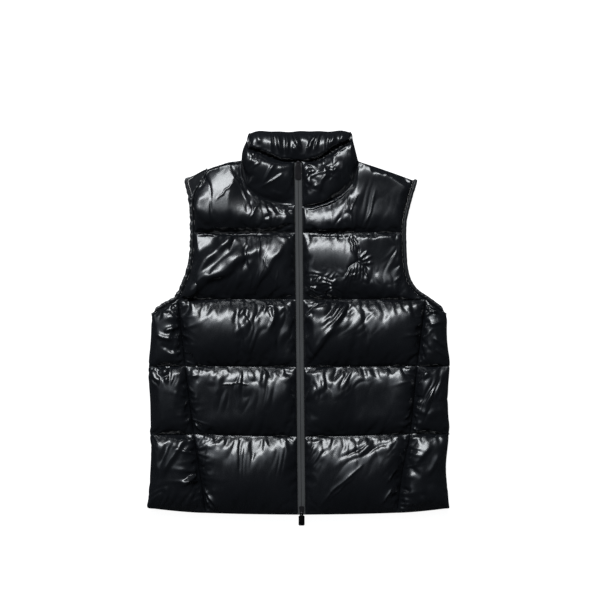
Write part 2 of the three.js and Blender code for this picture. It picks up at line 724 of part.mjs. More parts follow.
const toSolid = (geometry) => {
  const bare = new THREE.BufferGeometry();
  bare.setAttribute("position", geometry.getAttribute("position"));
  if (geometry.index) bare.setIndex(geometry.index);
  const merged = mergeVertices(bare, 1e-4);
  const vertProperties = Float32Array.from(merged.getAttribute("position").array);
  const triVerts = Uint32Array.from(merged.index.array);
  return new wasm.Manifold(new wasm.Mesh({ numProp: 3, vertProperties, triVerts }));
};
const fromSolid = (solid) => {
  const mesh = solid.getMesh();
  const geometry = new THREE.BufferGeometry();
  geometry.setAttribute("position", new THREE.BufferAttribute(mesh.vertProperties, 3));
  geometry.setIndex(new THREE.BufferAttribute(mesh.triVerts, 1));
  return geometry;
};

// A slider about its pivot, its body reaching back from the eye in the direction given
function slider(direction) {
  const start = -EYE.radius + EYE.overhang;
  const outline = new THREE.Shape();
  const corners = [
    [-SLIDER.tailWidth / 2, start],
    [SLIDER.tailWidth / 2, start],
    [SLIDER.noseWidth / 2, start + SLIDER.length - SLIDER.corner],
    [SLIDER.noseWidth / 2 - SLIDER.corner, start + SLIDER.length],
    [-SLIDER.noseWidth / 2 + SLIDER.corner, start + SLIDER.length],
    [-SLIDER.noseWidth / 2, start + SLIDER.length - SLIDER.corner],
  ];
  outline.setFromPoints(corners.map(([x, y]) => new THREE.Vector2(x, y)));
  const plate = new THREE.ExtrudeGeometry(outline, { depth: SLIDER.thick, bevelEnabled: false });
  plate.translate(0, 0, -EYE.height - SLIDER.thick);

  const ring = new THREE.Shape().absarc(0, 0, EYE.radius, 0, 2 * Math.PI);
  ring.holes.push(new THREE.Path().absarc(0, 0, EYE.hole, 0, 2 * Math.PI));
  const across = { depth: EYE.width, curveSegments: EYE.sides, bevelEnabled: false };
  const eye = new THREE.ExtrudeGeometry(ring, across);
  eye.rotateY(Math.PI / 2);
  eye.translate(-EYE.width / 2, 0, 0);

  const foot = new THREE.BoxGeometry(EYE.width, EYE.foot, EYE.height + SLIDER.thick / 2);
  foot.translate(0, EYE.hole + EYE.foot / 2, -(EYE.height + SLIDER.thick / 2) / 2);
  const geometry = fromSolid(toSolid(plate).add(toSolid(eye)).add(toSolid(foot)));
  if (direction < 0) geometry.rotateZ(Math.PI);
  return geometry;
}

// A pull tab about its pivot, lying level and pointing to -Y
function pullTab() {
  const [neck, half] = [TAB.neckWidth / 2, TAB.width / 2];
  const end = -TAB.length + TAB.bar;
  const leftSide = [[-neck, TAB.bar], [-neck, -SLOT.end - 1], [-half, -TAB.neckLength]];
  for (let i = 0; i <= TAB_CORNER.steps; i += 1) {
    const angle = Math.PI * (1 + (0.5 * i) / TAB_CORNER.steps);
    const x = -half + TAB_CORNER.radius * (1 + Math.cos(angle));
    leftSide.push([x, end + TAB_CORNER.radius * (1 + Math.sin(angle))]);
  }
  const rightSide = leftSide.map(([x, y]) => [-x, y]).reverse();
  const toPoints = (corners) => corners.map(([x, y]) => new THREE.Vector2(x, y));
  const outline = new THREE.Shape(toPoints([...leftSide, ...rightSide]));
  const slotHalf = SLOT.width / 2;
  const slot = [[-slotHalf, -TAB.bar], [-slotHalf, -SLOT.end], [slotHalf, -SLOT.end], [slotHalf, -TAB.bar]];
  outline.holes.push(new THREE.Path(toPoints(slot)));
  const geometry = new THREE.ExtrudeGeometry(outline, { depth: TAB.thick, bevelEnabled: false });
  geometry.translate(0, 0, -TAB.thick / 2);
  return geometry;
}

const shell = { color: 0x17191d, roughness: 0.3, metalness: 0 };
const edging = { color: 0x16181b, roughness: 0.55, metalness: 0 };
const tape = { color: 0x4a4b4c, roughness: 0.85, metalness: 0 };
const metal = { color: 0x2c2a2e, roughness: 0.45, metalness: 0.9 };

const vest = new THREE.Group();

function add(name, geometry, material, place = point(0, 0, 0), droop = 0) {
  const mesh = new THREE.Mesh(geometry, new THREE.MeshStandardMaterial(material));
  mesh.name = name;
  mesh.position.copy(place);
  mesh.rotation.x = THREE.MathUtils.degToRad(droop);
  vest.add(mesh);
}

add("back", back(), shell);
for (const side of ["right", "left"]) {
  add(`front_${side}`, front(side), shell);
  add(`side_${side}`, sidePanel(side), shell);
  add(`armhole_binding_${side}`, armholeBinding(side), edging);
  add(`zip_tape_${side}`, zipTape(side), tape);
}
add("collar", collar(), shell);
const topPivot = point(zipX(TOP_PIVOT_Y), TOP_PIVOT_Y, PIVOT_Z);
const bottomPivot = point(zipX(BOTTOM_PIVOT_Y), BOTTOM_PIVOT_Y, PIVOT_Z);
add("top_slider", slider(-1), metal, topPivot);
add("top_pull_tab", pullTab(), metal, topPivot, TOP_TAB_DROOP);
add("bottom_slider", slider(1), metal, bottomPivot);
add("bottom_pull_tab", pullTab(), metal, bottomPivot, BOTTOM_TAB_DROOP);

// Centres the footprint on the origin, with the underside at the height of the table
const box = new THREE.Box3().setFromObject(vest);
const middle = box.getCenter(point(0, 0, 0));
vest.position.set(-middle.x, -middle.y, -box.min.z);

export default vest;
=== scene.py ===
# A quilted vest with a stand collar, zipped up and laid flat on its back.
# Lengths in the tables are millimetres on the cut's own drawing: y = 0 at the hem, x = 0 at the centre,
# +X to the wearer's left. The mesh code turns them into metres in the frame.
import json
import math
import time

import bmesh
import bpy
import numpy as np
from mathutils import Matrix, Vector


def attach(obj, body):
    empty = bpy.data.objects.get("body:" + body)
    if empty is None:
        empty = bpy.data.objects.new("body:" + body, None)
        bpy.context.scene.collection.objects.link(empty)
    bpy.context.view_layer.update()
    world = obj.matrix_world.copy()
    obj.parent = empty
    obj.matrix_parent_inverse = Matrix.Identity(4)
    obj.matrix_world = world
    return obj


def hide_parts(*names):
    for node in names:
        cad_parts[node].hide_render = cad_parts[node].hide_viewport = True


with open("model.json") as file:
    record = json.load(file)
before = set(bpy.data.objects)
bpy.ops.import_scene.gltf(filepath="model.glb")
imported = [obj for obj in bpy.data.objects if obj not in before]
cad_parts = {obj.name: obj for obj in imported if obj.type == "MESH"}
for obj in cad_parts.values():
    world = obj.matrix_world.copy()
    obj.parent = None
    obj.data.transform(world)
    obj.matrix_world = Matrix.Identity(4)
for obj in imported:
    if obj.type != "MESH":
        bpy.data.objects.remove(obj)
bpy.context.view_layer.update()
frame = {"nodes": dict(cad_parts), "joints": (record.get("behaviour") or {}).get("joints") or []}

mm = 0.001
rng = np.random.default_rng(7)


class Cut(dict):  # a dictionary whose values are read as attributes too
    __getattr__ = dict.__getitem__
    __setattr__ = dict.__setitem__


def table(columns, *rows):  # rows of numbers under the names of their columns
    return [Cut(zip(columns.split(), row)) for row in rows]


body = Cut(
    halfChest=280, neckHalf=110, neckY=660, neckDrop=84, backNeckDrop=22,
    armpitY=400, armpitFoldY=374, midZ=18, gap=0.3, seamThick=4, zipEdgeThick=7, zipHalf=7.2,
    zipLeanBottom=3, zipLeanTop=-3.5, neckRoundRight=2.4, neckRoundLeft=2.0, backNeckRound=2.6,
)
# Height at the centre, and how far a seam rises towards the sides
quiltSeams = table("y rise", (-2, 8), (144, 9), (274, 3), (400, 0), (525, 0))
longSeam = table(
    "y right left", (-2, -176, 181), (75, -187, 191), (150, -199, 206), (275, -215, 219), (400, -229, 235),
)
armhole = table(
    "y right left backRight",
    (400, -229, 235, -229), (412, -222, 217, -222), (430, -214, 203, -214), (455, -205, 195, -205),
    (490, -199, 192, -199), (545, -198, 192, -198), (578, -199, 199, -200), (600, -195, 205, -204),
    (623, -184, 212, -210), (641, -174, 214, -212),
)
shoulderTip = Cut(right=(-174, 641), left=(212, 623), backRight=(-210, 623))
shoulder = table("x right left", (110, 660, 658), (138, 655, 649), (176, 642, 636), (214, 621, 622))
sideSign = Cut(right=-1, left=1)

# The drawing's place in the frame, from the pivot of the top pull tab
pivots = {joint["name"]: joint["pos_m"] for joint in frame["joints"]}
topPivotY = 657


def zipX(y):
    return body.zipLeanBottom + (body.zipLeanTop - body.zipLeanBottom) * y / body.neckY


drawingOrigin = np.array([
    pivots["top_tab_hinge"][0] - zipX(topPivotY) * mm,
    pivots["top_tab_hinge"][1] - topPivotY * mm,
    0.0,
])


def inFrame(points):
    return np.asarray(points, float) * mm + drawingOrigin


def readTable(rows, key, column, at):  # a smooth curve through a table's rows
    keys = np.array([row[key] for row in rows], float)
    values = np.array([row[column] for row in rows], float)
    before = np.maximum(np.arange(len(keys)) - 1, 0)
    after = np.minimum(np.arange(len(keys)) + 1, len(keys) - 1)
    slopes = (values[after] - values[before]) / (keys[after] - keys[before])
    at = np.asarray(at, float)
    i = np.clip(np.searchsorted(keys, at) - 1, 0, len(keys) - 2)
    step = keys[i + 1] - keys[i]
    t = np.clip((at - keys[i]) / step, 0, 1)
    bend = t * t * (3 - 2 * t)
    return (
        values[i] * (1 - bend) + values[i + 1] * bend
        + t * (1 - t) ** 2 * slopes[i] * step
        + t * t * (t - 1) * slopes[i + 1] * step
    )


def smooth(value, start, end):
    t = np.clip((value - start) / (end - start), 0, 1)
    return t * t * (3 - 2 * t)


def roundUp(distance, reach):
    left = 1 - np.clip(distance / reach, 0, 1)
    return np.sqrt(1 - left * left)


def seamY(seam, x):
    return quiltSeams[seam].y + quiltSeams[seam].rise * (np.asarray(x, float) / body.halfChest) ** 2


def outerX(edge, y):
    onArmhole = readTable(armhole, "y", edge, y)
    below = readTable(longSeam, "y", "right" if edge == "backRight" else edge, y)
    return np.where(np.asarray(y) > body.armpitY, onArmhole, below)


def neckCurve(side, steps):
    power = 2 / body["neckRound" + side.capitalize()]
    top = readTable(shoulder, "x", side, body.neckHalf)
    zipEdge = zipX(body.neckY - body.neckDrop) + sideSign[side] * body.zipHalf
    start = math.acos((abs(zipEdge) / body.neckHalf) ** (1 / power))
    angle = start * (1 - np.linspace(0, 1, steps + 1))
    x = sideSign[side] * body.neckHalf * np.cos(angle) ** power
    x[0] = zipEdge
    return np.stack([x, top - body.neckDrop * np.sin(angle) ** power], 1)


def shoulderLine(side, tip, steps):
    t = np.linspace(0, 1, steps + 1)[1:]
    x = sideSign[side] * body.neckHalf * (1 - t) + tip[0] * t
    y = readTable(shoulder, "x", side, np.abs(x))
    y[-1] = tip[1]
    return np.stack([x, y], 1)


def evenly(points, count):  # the same line with its points at even steps
    along = np.concatenate([[0], np.cumsum(np.linalg.norm(np.diff(points, axis=0), axis=1))])
    at = np.linspace(0, along[-1], count)
    return np.stack([np.interp(at, along, points[:, k]) for k in range(points.shape[1])], 1)


def channelShares(count):  # rows of a channel, closer together near its seams
    t = np.arange(count) / count
    return 0.55 * t + 0.45 * (1 - np.cos(math.pi * t)) / 2


def panelPlan(fromX, toX, tops, rowCounts):
    # Plan points of a panel between two edges, from the hem to the points of its top edge
    u = np.linspace(0, 1, len(tops))
    columns = dict(x=[], y=[], low=[], high=[], share=[], channel=[], start=[], end=[])
    for channel in range(len(quiltSeams)):
        last = channel == len(quiltSeams) - 1
        shares = list(channelShares(rowCounts[channel])) + ([1.0] if last else [])
        seamHeight = quiltSeams[channel].y
        for share in shares:
            def edgeY(edge, x):
                high = edge[1] if last else seamY(channel + 1, x)
                return seamY(channel, x) * (1 - share) + high * share
            start = fromX(edgeY(tops[0], fromX(seamHeight)))
            end = toX(edgeY(tops[-1], toX(seamHeight)))
            x = start + (end - start) * u
            low = seamY(channel, x)
            if last:
                low0, low1 = fromX(seamHeight), toX(seamHeight)
                ends0 = low0 + (tops[0][0] - low0) * share
                ends1 = low1 + (tops[-1][0] - low1) * share
                straight = (low0 + (low1 - low0) * u) * (1 - share) + tops[:, 0] * share
                x = x + straight - (ends0 + (ends1 - ends0) * u)
            high = tops[:, 1] if last else seamY(channel + 1, x)
            row = dict(
                x=x, y=low * (1 - share) + high * share, low=low, high=high, share=share + 0 * x,
                channel=channel + 0 * x, start=start + 0 * x, end=end + 0 * x,
            )
            for key in columns:
                columns[key].append(row[key])
    return Cut((key, np.array(rows)) for key, rows in columns.items())


# Cloth
def gridFaces(rows, columns, flip=False):
    r, c = np.meshgrid(np.arange(rows - 1), np.arange(columns - 1), indexing="ij")
    a = (r * columns + c).ravel()
    quads = np.stack([a, a + 1, a + columns + 1, a + columns], 1)
    return quads[:, ::-1] if flip else quads


def ringFaces(rows, columns, closed=False):  # the same for rings, whose last row can join the first
    r, c = np.meshgrid(np.arange(rows if closed else rows - 1), np.arange(columns), indexing="ij")
    nextRow, nextColumn = (r + 1) % rows * columns, (c + 1) % columns
    quads = [r * columns + c, r * columns + nextColumn, nextRow + nextColumn, nextRow + c]
    return np.stack([corner.ravel() for corner in quads], 1)


def added(name, data):
    thing = bpy.data.objects.new(name, data)
    bpy.context.scene.collection.objects.link(thing)
    return thing


def meshObject(name, points, faces):
    mesh = bpy.data.meshes.new(name)
    mesh.from_pydata([tuple(p) for p in points], [], [tuple(int(i) for i in f) for f in faces])
    mesh.update()
    return added(name, mesh)


def readPoints(piece):
    evaluated = piece.evaluated_get(bpy.context.evaluated_depsgraph_get())
    flat = np.zeros(len(evaluated.data.vertices) * 3, np.float32)
    evaluated.data.vertices.foreach_get("co", flat)
    return flat.reshape(-1, 3).astype(float)


clothSettings = Cut(
    frames=24, pressure=10.0, growth=0.045, mass=0.3, tension=15, shear=5, bending=0.5, quality=5,
)


def inflate(sheets):
    # Blows up all the sheets together with Blender's Cloth, and returns where their points end
    scene = bpy.context.scene
    made = []
    for sheet in sheets:
        piece = meshObject("cloth_" + sheet.name, sheet.points, sheet.faces)
        group = piece.vertex_groups.new(name="sewn")
        for weight in np.unique(sheet.sewn):
            if weight > 0:
                group.add(np.flatnonzero(sheet.sewn == weight).tolist(), float(weight), "REPLACE")
        cloth = piece.modifiers.new("Cloth", "CLOTH")
        cloth.point_cache.frame_end = clothSettings.frames
        settings = cloth.settings
        settings.vertex_group_mass = "sewn"
        settings.quality = clothSettings.quality
        settings.mass = clothSettings.mass
        settings.tension_stiffness = clothSettings.tension
        settings.compression_stiffness = clothSettings.tension
        settings.shear_stiffness = clothSettings.shear
        settings.bending_stiffness = clothSettings.bending
        settings.use_pressure = True
        settings.uniform_pressure_force = clothSettings.pressure
        # The cloth is cut larger than its seams, so it gathers along them
        settings.shrink_min = -sheet.get("growth", clothSettings.growth)
        settings.effector_weights.gravity = 0
        cloth.collision_settings.use_self_collision = False
        cloth.collision_settings.use_collision = False
        made.append(piece)
    for step in range(1, clothSettings.frames + 1):
        scene.frame_set(step)
    ends = [readPoints(piece) for piece in made]
    for piece in made:
        mesh = piece.data
        bpy.data.objects.remove(piece)
        bpy.data.meshes.remove(mesh)
    scene.frame_set(1)
    return ends


def refined(points, closed=False):
    # Doubles a grid's rows and columns on a smooth curve through its points.
    # A closed grid joins up across its columns.
    def doubled(grid, loop):
        before = np.roll(grid, 1, 0) if loop else np.concatenate([grid[:1], grid[:-1]])
        after = np.roll(grid, -1, 0) if loop else np.concatenate([grid[1:], grid[-1:]])
        beyond = np.roll(grid, -2, 0) if loop else np.concatenate([grid[2:], grid[-1:], grid[-1:]])
        middle = (9 * (grid + after) - before - beyond) / 16
        out = np.empty((2 * len(grid),) + grid.shape[1:])
        out[0::2], out[1::2] = grid, middle
        return out if loop else out[:-1]
    fine = doubled(points, False)
    return doubled(fine.transpose(1, 0, 2), closed).transpose(1, 0, 2)


def refinedMap(values, closed=False):  # the same for a plan value, such as x or a share
    return refined(np.repeat(values[:, :, None], 3, 2), closed)[:, :, 0]


def gridNormals(points, outward):
    along = np.gradient(points, axis=0)
    across = np.gradient(points, axis=1)
    normals = np.cross(across, along)
    normals /= np.maximum(np.linalg.norm(normals, axis=2, keepdims=True), 1e-12)
    if (normals * outward).sum() < 0:
        normals = -normals
    return normals


def shadeSmooth(piece, angle=60):
    piece.data.shade_smooth()
    piece.data.set_sharp_from_angle(angle=math.radians(angle))


def turnedOut(mesh):  # all faces of a closed mesh point out
    work = bmesh.new()
    work.from_mesh(mesh)
    bmesh.ops.recalc_face_normals(work, faces=work.faces)
    work.to_mesh(mesh)
    work.free()


def gridBorder(rows, columns):
    at = np.arange(rows * columns).reshape(rows, columns)
    return np.concatenate([at[0, :-1], at[:-1, -1], at[-1, :0:-1], at[:0:-1, 0]])


def closedPanel(name, points, level):
    # A closed piece from a grid of outer points, a border that drops to a level, and a plain face there
    rows, columns = points.shape[:2]
    border = gridBorder(rows, columns)
    base = points.reshape(-1, 3)[border].copy()
    base[:, 2] = level * mm
    ring = rows * columns + np.arange(len(border))
    walls = np.stack([border, np.roll(border, -1), np.roll(ring, -1), ring], 1)
    faces = np.concatenate([gridFaces(rows, columns), walls])
    piece = meshObject(name, np.concatenate([points.reshape(-1, 3), base]), faces)
    work = bmesh.new()
    work.from_mesh(piece.data)
    work.edges.ensure_lookup_table()
    rim = [edge for edge in work.edges if edge.is_boundary]
    bmesh.ops.triangle_fill(work, use_beauty=False, use_dissolve=False, edges=rim, normal=(0, 0, -1))
    bmesh.ops.recalc_face_normals(work, faces=work.faces)
    work.to_mesh(piece.data)
    work.free()
    shadeSmooth(piece)
    return piece


def closedRings(name, rings, angle=60):
    # A closed piece from rows of points that each go round it, with a cap at both ends
    rows, columns = rings.shape[:2]
    faces = [tuple(face) for face in ringFaces(rows, columns)]
    faces += [tuple(range(columns)), tuple(range((rows - 1) * columns, rows * columns))]
    piece = meshObject(name, rings.reshape(-1, 3), faces)
    turnedOut(piece.data)
    shadeSmooth(piece, angle)
    return piece


def finishPiece(piece, finish, replaced):
    piece.data.materials.clear()
    piece.data.materials.append(finishes[finish])
    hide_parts(replaced)
    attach(piece, "vest")


def quilted(piece, replaced):
    finishPiece(piece, "nylon", replaced)


def dome(share):
    return (1 - np.abs(2 * np.clip(share, 0, 1) - 1) ** 2.6) ** 0.55


def ridge(x, y, fold):
    # A fold from one point to another, highest in the middle of its length and fading at its ends.
    # It wanders a little, and one of its sides is steeper than the other.
    along = np.array([fold.x1 - fold.x0, fold.y1 - fold.y0], float)
    length = np.linalg.norm(along)
    fromX, fromY = x - fold.x0, y - fold.y0
    t = (fromX * along[0] + fromY * along[1]) / length ** 2
    own = np.random.default_rng(int(abs(17 * fold.x0 + 31 * fold.y1) + 900))
    part = np.clip(t, 0, 1)
    drift = sum(
        own.normal(0, 0.5) * np.sin(turns * math.pi * part + own.uniform(0, 6)) for turns in (2, 3, 5)
    )
    middle = (fold.get("bow", 0) + fold.get("wander", 0.025) * length * drift) * np.sin(math.pi * part)
    away = (fromX * -along[1] + fromY * along[0]) / length - middle
    width = fold.width * (1 + fold.get("skew", 0.3) * np.tanh(away / fold.width))
    fade = smooth(t, -0.08, 0.3) * (1 - smooth(t, 0.7, 1.08))
    if fold.get("sharp"):
        return fold.height * fade * np.exp(-np.abs(away / width) ** 1.2)
    return fold.height * fade * np.exp(-(away / width) ** 2)


def ripples(x, y, seed):  # a smooth irregular field, with hills about one unit apart
    own = np.random.default_rng(seed)
    total = np.zeros_like(x)
    for _ in range(12):
        turn = own.uniform(0, 2 * math.pi)
        pace = own.uniform(0.45, 1.25)
        phase = own.uniform(0, 6.3)
        total += np.cos(2 * math.pi * pace * (x * math.cos(turn) + y * math.sin(turn)) * 0.75 + phase)
    return total / 2.5


def crumple(x, y, spot):
    # A crumpled place: rounded hills between sharp valleys, drawn out along one direction
    dx, dy = x - spot.x, y - spot.y
    turn = math.radians(spot.get("turn", 90))
    u = (dx * math.cos(turn) + dy * math.sin(turn)) / (spot.pitch * spot.get("stretch", 2.5))
    v = (dy * math.cos(turn) - dx * math.sin(turn)) / spot.pitch
    seed = int(abs(13 * spot.x + 7 * spot.y)) + 400
    bentU = u + 0.3 * ripples(u * 0.7, v * 0.7, seed + 1)
    bentV = v + 0.3 * ripples(u * 0.7, v * 0.7, seed + 2)
    hills = np.sqrt(ripples(bentU, bentV, seed) ** 2 + 0.03) - 0.65
    window = np.exp(-np.abs(dx / spot.reachX) ** 3 - np.abs(dy / spot.reachY) ** 3)
    return spot.height * hills * window


def foldRow(x0, y0, x1, y1, width, height, **more):  # one fold of a table, from its start to its end
    return Cut(x0=x0, y0=y0, x1=x1, y1=y1, width=width, height=height, **more)


def crumpleRow(*values):  # one crumpled place of a table
    return table("x y reachX reachY pitch stretch turn height", values)[0]


def foldHeights(x, y, folds):
    return sum(crumple(x, y, fold) if "pitch" in fold else ridge(x, y, fold) for fold in folds)


# Gathers: short folds that leave a seam, with no two alike
gathers = Cut(pitch=10.5, longest=34, width=2.8, height=1.1)
longGathers = Cut(pitch=23, longest=58, width=4.6, height=1.1)  # softer ones, pressed in after the cloth
seamPuckers = Cut(pitch=7, longest=13, width=1.9, height=1.0)  # the small ones right at the stitches
edgeGathers = Cut(pitch=11, longest=32, width=2.6, height=3.2)  # across the long seams


def gatherField(x, distance, seed, strength=1.0, cut=gathers):
    # Height of the gathers of one seam, from the place along it and the distance off it
    own = np.random.default_rng(seed)
    pitch = cut.pitch
    place, end = x.min() - pitch, x.max() + pitch
    field = np.zeros_like(x)
    while place < end:
        place += pitch * own.uniform(0.45, 1.6)
        lean = own.normal(0, 0.28)
        reach = cut.longest * own.uniform(0.25, 1.0)
        width = cut.width * own.uniform(0.6, 1.5)
        height = cut.height * own.uniform(0.2, 1.1) * strength
        away = (x - place - lean * distance) / (width * (1 + distance / 40))
        profile = (distance / 4) * np.exp(1 - distance / 4)
        long = np.exp(-(distance / reach) ** 2)
        field += height * np.maximum(0.6 * profile, long * smooth(distance, 0, 3)) * np.exp(-away ** 2)
    return field


def seamGathers(plan, seed, above, below, lowest, cut=gathers):
    # Gathers of all the cross seams of a panel, with their strengths above a seam, below it and at the hem
    x, y = plan.x, plan.y
    field = np.zeros_like(x)
    for channel in range(len(quiltSeams)):
        inside = plan.channel == channel
        field += inside * gatherField(x, plan.high - y, seed + 10 * channel, below, cut)
        strength = above if channel else lowest
        if strength:
            field += inside * gatherField(x, y - plan.low, seed + 10 * channel + 1, strength, cut)
    return field


frontPuff = Cut(puff=21, reach=38, columns=77, rowCounts=(50, 44, 43, 43, 44), cap=15, gatherSeed=11)
frontFolds = [  # big soft folds that the cloth is blown up over
    foldRow(-238, 394, -100, 488, 12, 4.5),
    foldRow(-196, 444, -120, 524, 9, 3.5),
    foldRow(-84, 430, -30, 500, 9, 3),
    foldRow(-178, 628, -160, 530, 6, -6, bow=6),
    foldRow(34, 556, 104, 600, 12, 7),
    foldRow(34, 420, 92, 438, 4.5, 2.2),
    foldRow(14, 292, 84, 378, 11, 3.5),
    foldRow(33, 15, 110, 90, 9, 3),
    foldRow(13, 212, 53, 247, 8, 5),
]


def frontSheet(side):
    edgeLine = np.concatenate([neckCurve(side, 60), shoulderLine(side, shoulderTip[side], 40)])
    tops = evenly(edgeLine, frontPuff.columns)
    sign = sideSign[side]
    plan = panelPlan(
        lambda y: zipX(y) + sign * body.zipHalf, lambda y: outerX(side, y) - sign * body.gap,
        tops, frontPuff.rowCounts,
    )
    fromZip = np.abs(plan.x - plan.start)
    edge = roundUp(fromZip, frontPuff.reach) * roundUp(np.abs(plan.end - plan.x), frontPuff.reach)
    fill = np.minimum(1, np.sqrt((plan.high - plan.low) / 100))
    rise = dome(plan.share) * edge
    wall = body.seamThick + (frontPuff.puff - body.seamThick) * fill * rise
    wall = wall + (body.zipEdgeThick - body.seamThick) * np.exp(-fromZip / 9)
    for fold in frontFolds:
        wall += ridge(plan.x, plan.y, fold) * rise
    seed = frontPuff.gatherSeed + (5 if side == "left" else 0)
    wall += smooth(rise, 0, 0.5) * seamGathers(plan, seed, 0.6, 1.0, 0.15)
    z = body.midZ + body.gap + wall
    rows, columns = z.shape
    sewn = np.zeros((rows, columns))
    sewn[plan.share == 0] = 1
    sewn[-1] = 1
    sewn[:, 0] = sewn[:, -1] = 1
    points = inFrame(np.stack([plan.x, plan.y, z], 2).reshape(-1, 3))
    points[:, 2] += (rng.normal(0, 0.06 * mm, (rows, columns)) * (1 - sewn)).ravel()
    return Cut(
        name="front_" + side, points=points, faces=gridFaces(rows, columns, flip=sign < 0), sewn=sewn.ravel(),
        plan=plan, shape=(rows, columns), cap=frontPuff.cap, level=body.midZ + body.gap,
    )


# Side panels: from the long seam over the top, round the side fold and back underneath
sideFold = table(
    "y right left", (-2, -287, 281), (35, -284, 277), (90, -281, 274), (150, -281, 280), (210, -280, 276),
    (275, -283, 280), (330, -279, 275), (384, -278, 274),
)
sidePuff = Cut(
    puff=19, foldThick=12, pinch=0.5, edgeThick=3.5, reach=24, liftReach=24, topColumns=27, foldColumns=14,
    underColumns=18, rowCounts=(46, 42, 40), cap=12, gatherSeed=101,
    hemRise=8, corner=dict(right=8, left=4), seamLift=7, seamReach=16, channelLift=6, mostLift=14,
    topWidth=60, foldInset=4,
)


def lift(distance):
    most = body.midZ - body.gap - sidePuff.edgeThick
    return most * (1 - roundUp(distance, sidePuff.liftReach))


def sideSheet(side):
    sign = sideSign[side]
    lastChannel = len(sidePuff.rowCounts) - 1
    over = np.linspace(0, 1, sidePuff.topColumns)
    turn = np.linspace(0, 1, sidePuff.foldColumns + 2)[1:-1]
    under = np.linspace(1, 0, sidePuff.underColumns)
    grids = Cut(x=[], y=[], z=[], share=[], low=[], high=[], s=[])
    for channel, count in enumerate(sidePuff.rowCounts):
        seamX = outerX(side, quiltSeams[channel].y)
        shares = list(channelShares(count)) + ([1.0] if channel == lastChannel else [])
        for share in shares:
            low = float(seamY(channel, seamX))

            def highAt(s):
                if channel == lastChannel:
                    return body.armpitY + (body.armpitFoldY - body.armpitY) * s
                return float(seamY(channel + 1, outerX(side, quiltSeams[channel + 1].y))) + 0 * s

            def lowAt(s):
                return low + (sidePuff.hemRise if channel == 0 else 0) * np.clip(s, 0, 1) ** 1.5

            def yAt(s):
                return lowAt(s) + (highAt(s) - lowAt(s)) * share
            foldY = float(yAt(1.0))
            fromHem = roundUp(foldY - seamY(0, body.halfChest), sidePuff.liftReach)
            edges = min(float(fromHem), float(roundUp(body.armpitFoldY - foldY, sidePuff.liftReach)))
            pinched = sidePuff.pinch + (1 - sidePuff.pinch) * float(dome(share))
            thick = sidePuff.edgeThick + (sidePuff.foldThick * pinched - sidePuff.edgeThick) * edges
            corner = sidePuff.corner[side]
            blunt = corner * (1 - float(roundUp(foldY - lowAt(1.0), corner))) if channel == 0 else 0
            foldX = float(readTable(sideFold, "y", side, foldY)) - sign * (thick + blunt)
            ownSeamX = float(outerX(side, yAt(0.0)))

            def topThick(s):
                x = ownSeamX + (foldX - ownSeamX) * s
                edge = roundUp(np.abs(x - ownSeamX), sidePuff.reach)
                full = sidePuff.puff + (sidePuff.foldThick - sidePuff.puff) * s * s
                fill = np.minimum(1, np.sqrt((highAt(s) - low) / 100))
                wall = body.seamThick + (full - body.seamThick) * fill * dome(share) * edge
                return np.maximum(wall, body.seamThick)

            def underAt(s):
                x = ownSeamX + (foldX - ownSeamX) * s
                fromTop = highAt(s) - yAt(s) + (channel < lastChannel) * 99
                return lift(np.minimum(yAt(s) - seamY(0, x), fromTop))
            x = [ownSeamX + (foldX - ownSeamX) * over]
            y = [yAt(over)]
            z = [body.midZ + body.gap + topThick(over)]
            up = np.cos(math.pi * turn)
            atFold = np.array(1.0)
            reach = np.where(up > 0, topThick(atFold) + body.gap, body.midZ - underAt(atFold))
            bulge = thick * np.sin(math.pi * turn)
            x.append(foldX + sign * bulge)
            y.append(yAt(1 + bulge / abs(foldX - ownSeamX)))
            z.append(body.midZ + up * reach)
            x.append(ownSeamX + (foldX - ownSeamX) * under)
            y.append(yAt(under))
            fromSeam = roundUp(np.abs(ownSeamX - x[-1]), sidePuff.seamReach)
            lifted = sidePuff.seamLift * (1 - fromSeam) + sidePuff.channelLift * (1 - float(dome(share)))
            z.append(np.minimum(np.maximum(underAt(under), lifted), sidePuff.mostLift))
            s = np.concatenate([over, 1 + turn, 3 - under])
            grids.x.append(np.concatenate(x))
            grids.y.append(np.concatenate(y))
            grids.z.append(np.concatenate(z))
            grids.share.append(0 * s + share)
            grids.low.append(0 * s + low)
            grids.high.append(0 * s + highAt(np.clip(s, 0, 1)))
            grids.s.append(s)
    plan = Cut((key, np.array(values)) for key, values in grids.items())
    rows, columns = plan.x.shape
    points = inFrame(np.stack([plan.x, plan.y, plan.z], 2))
    normals = gridNormals(points, np.stack([sign * (plan.s - 0.5), 0 * plan.s, 1.6 - plan.s], 2))
    away = np.cumsum(np.linalg.norm(np.diff(points, axis=1, prepend=points[:, :1]), axis=2), 1) / mm
    fromLow, toHigh = plan.y - plan.low, plan.high - plan.y
    free = smooth(dome(plan.share), 0, 0.5) * smooth(away, 0, 8)
    push = np.zeros_like(away)
    for channel in range(lastChannel + 1):
        first = sum(sidePuff.rowCounts[:channel])
        inside = np.zeros((rows, 1))
        inside[first:first + sidePuff.rowCounts[channel]] = 1
        seed = sidePuff.gatherSeed + 10 * channel + (5 if side == "left" else 0)
        push += inside * free * (gatherField(away, toHigh, seed) + gatherField(away, fromLow, seed + 1, 0.7))
    points += normals * push[:, :, None] * mm
    sewn = np.zeros((rows, columns))
    sewn[np.isclose(plan.share, 0)] = 1
    sewn[-1] = 1
    sewn[:, 0] = sewn[:, -1] = 1
    return Cut(
        name="side_" + side, points=points.reshape(-1, 3), faces=gridFaces(rows, columns, flip=sign < 0),
        sewn=sewn.ravel(), plan=plan, shape=(rows, columns), cap=sidePuff.cap, floor=True,
    )


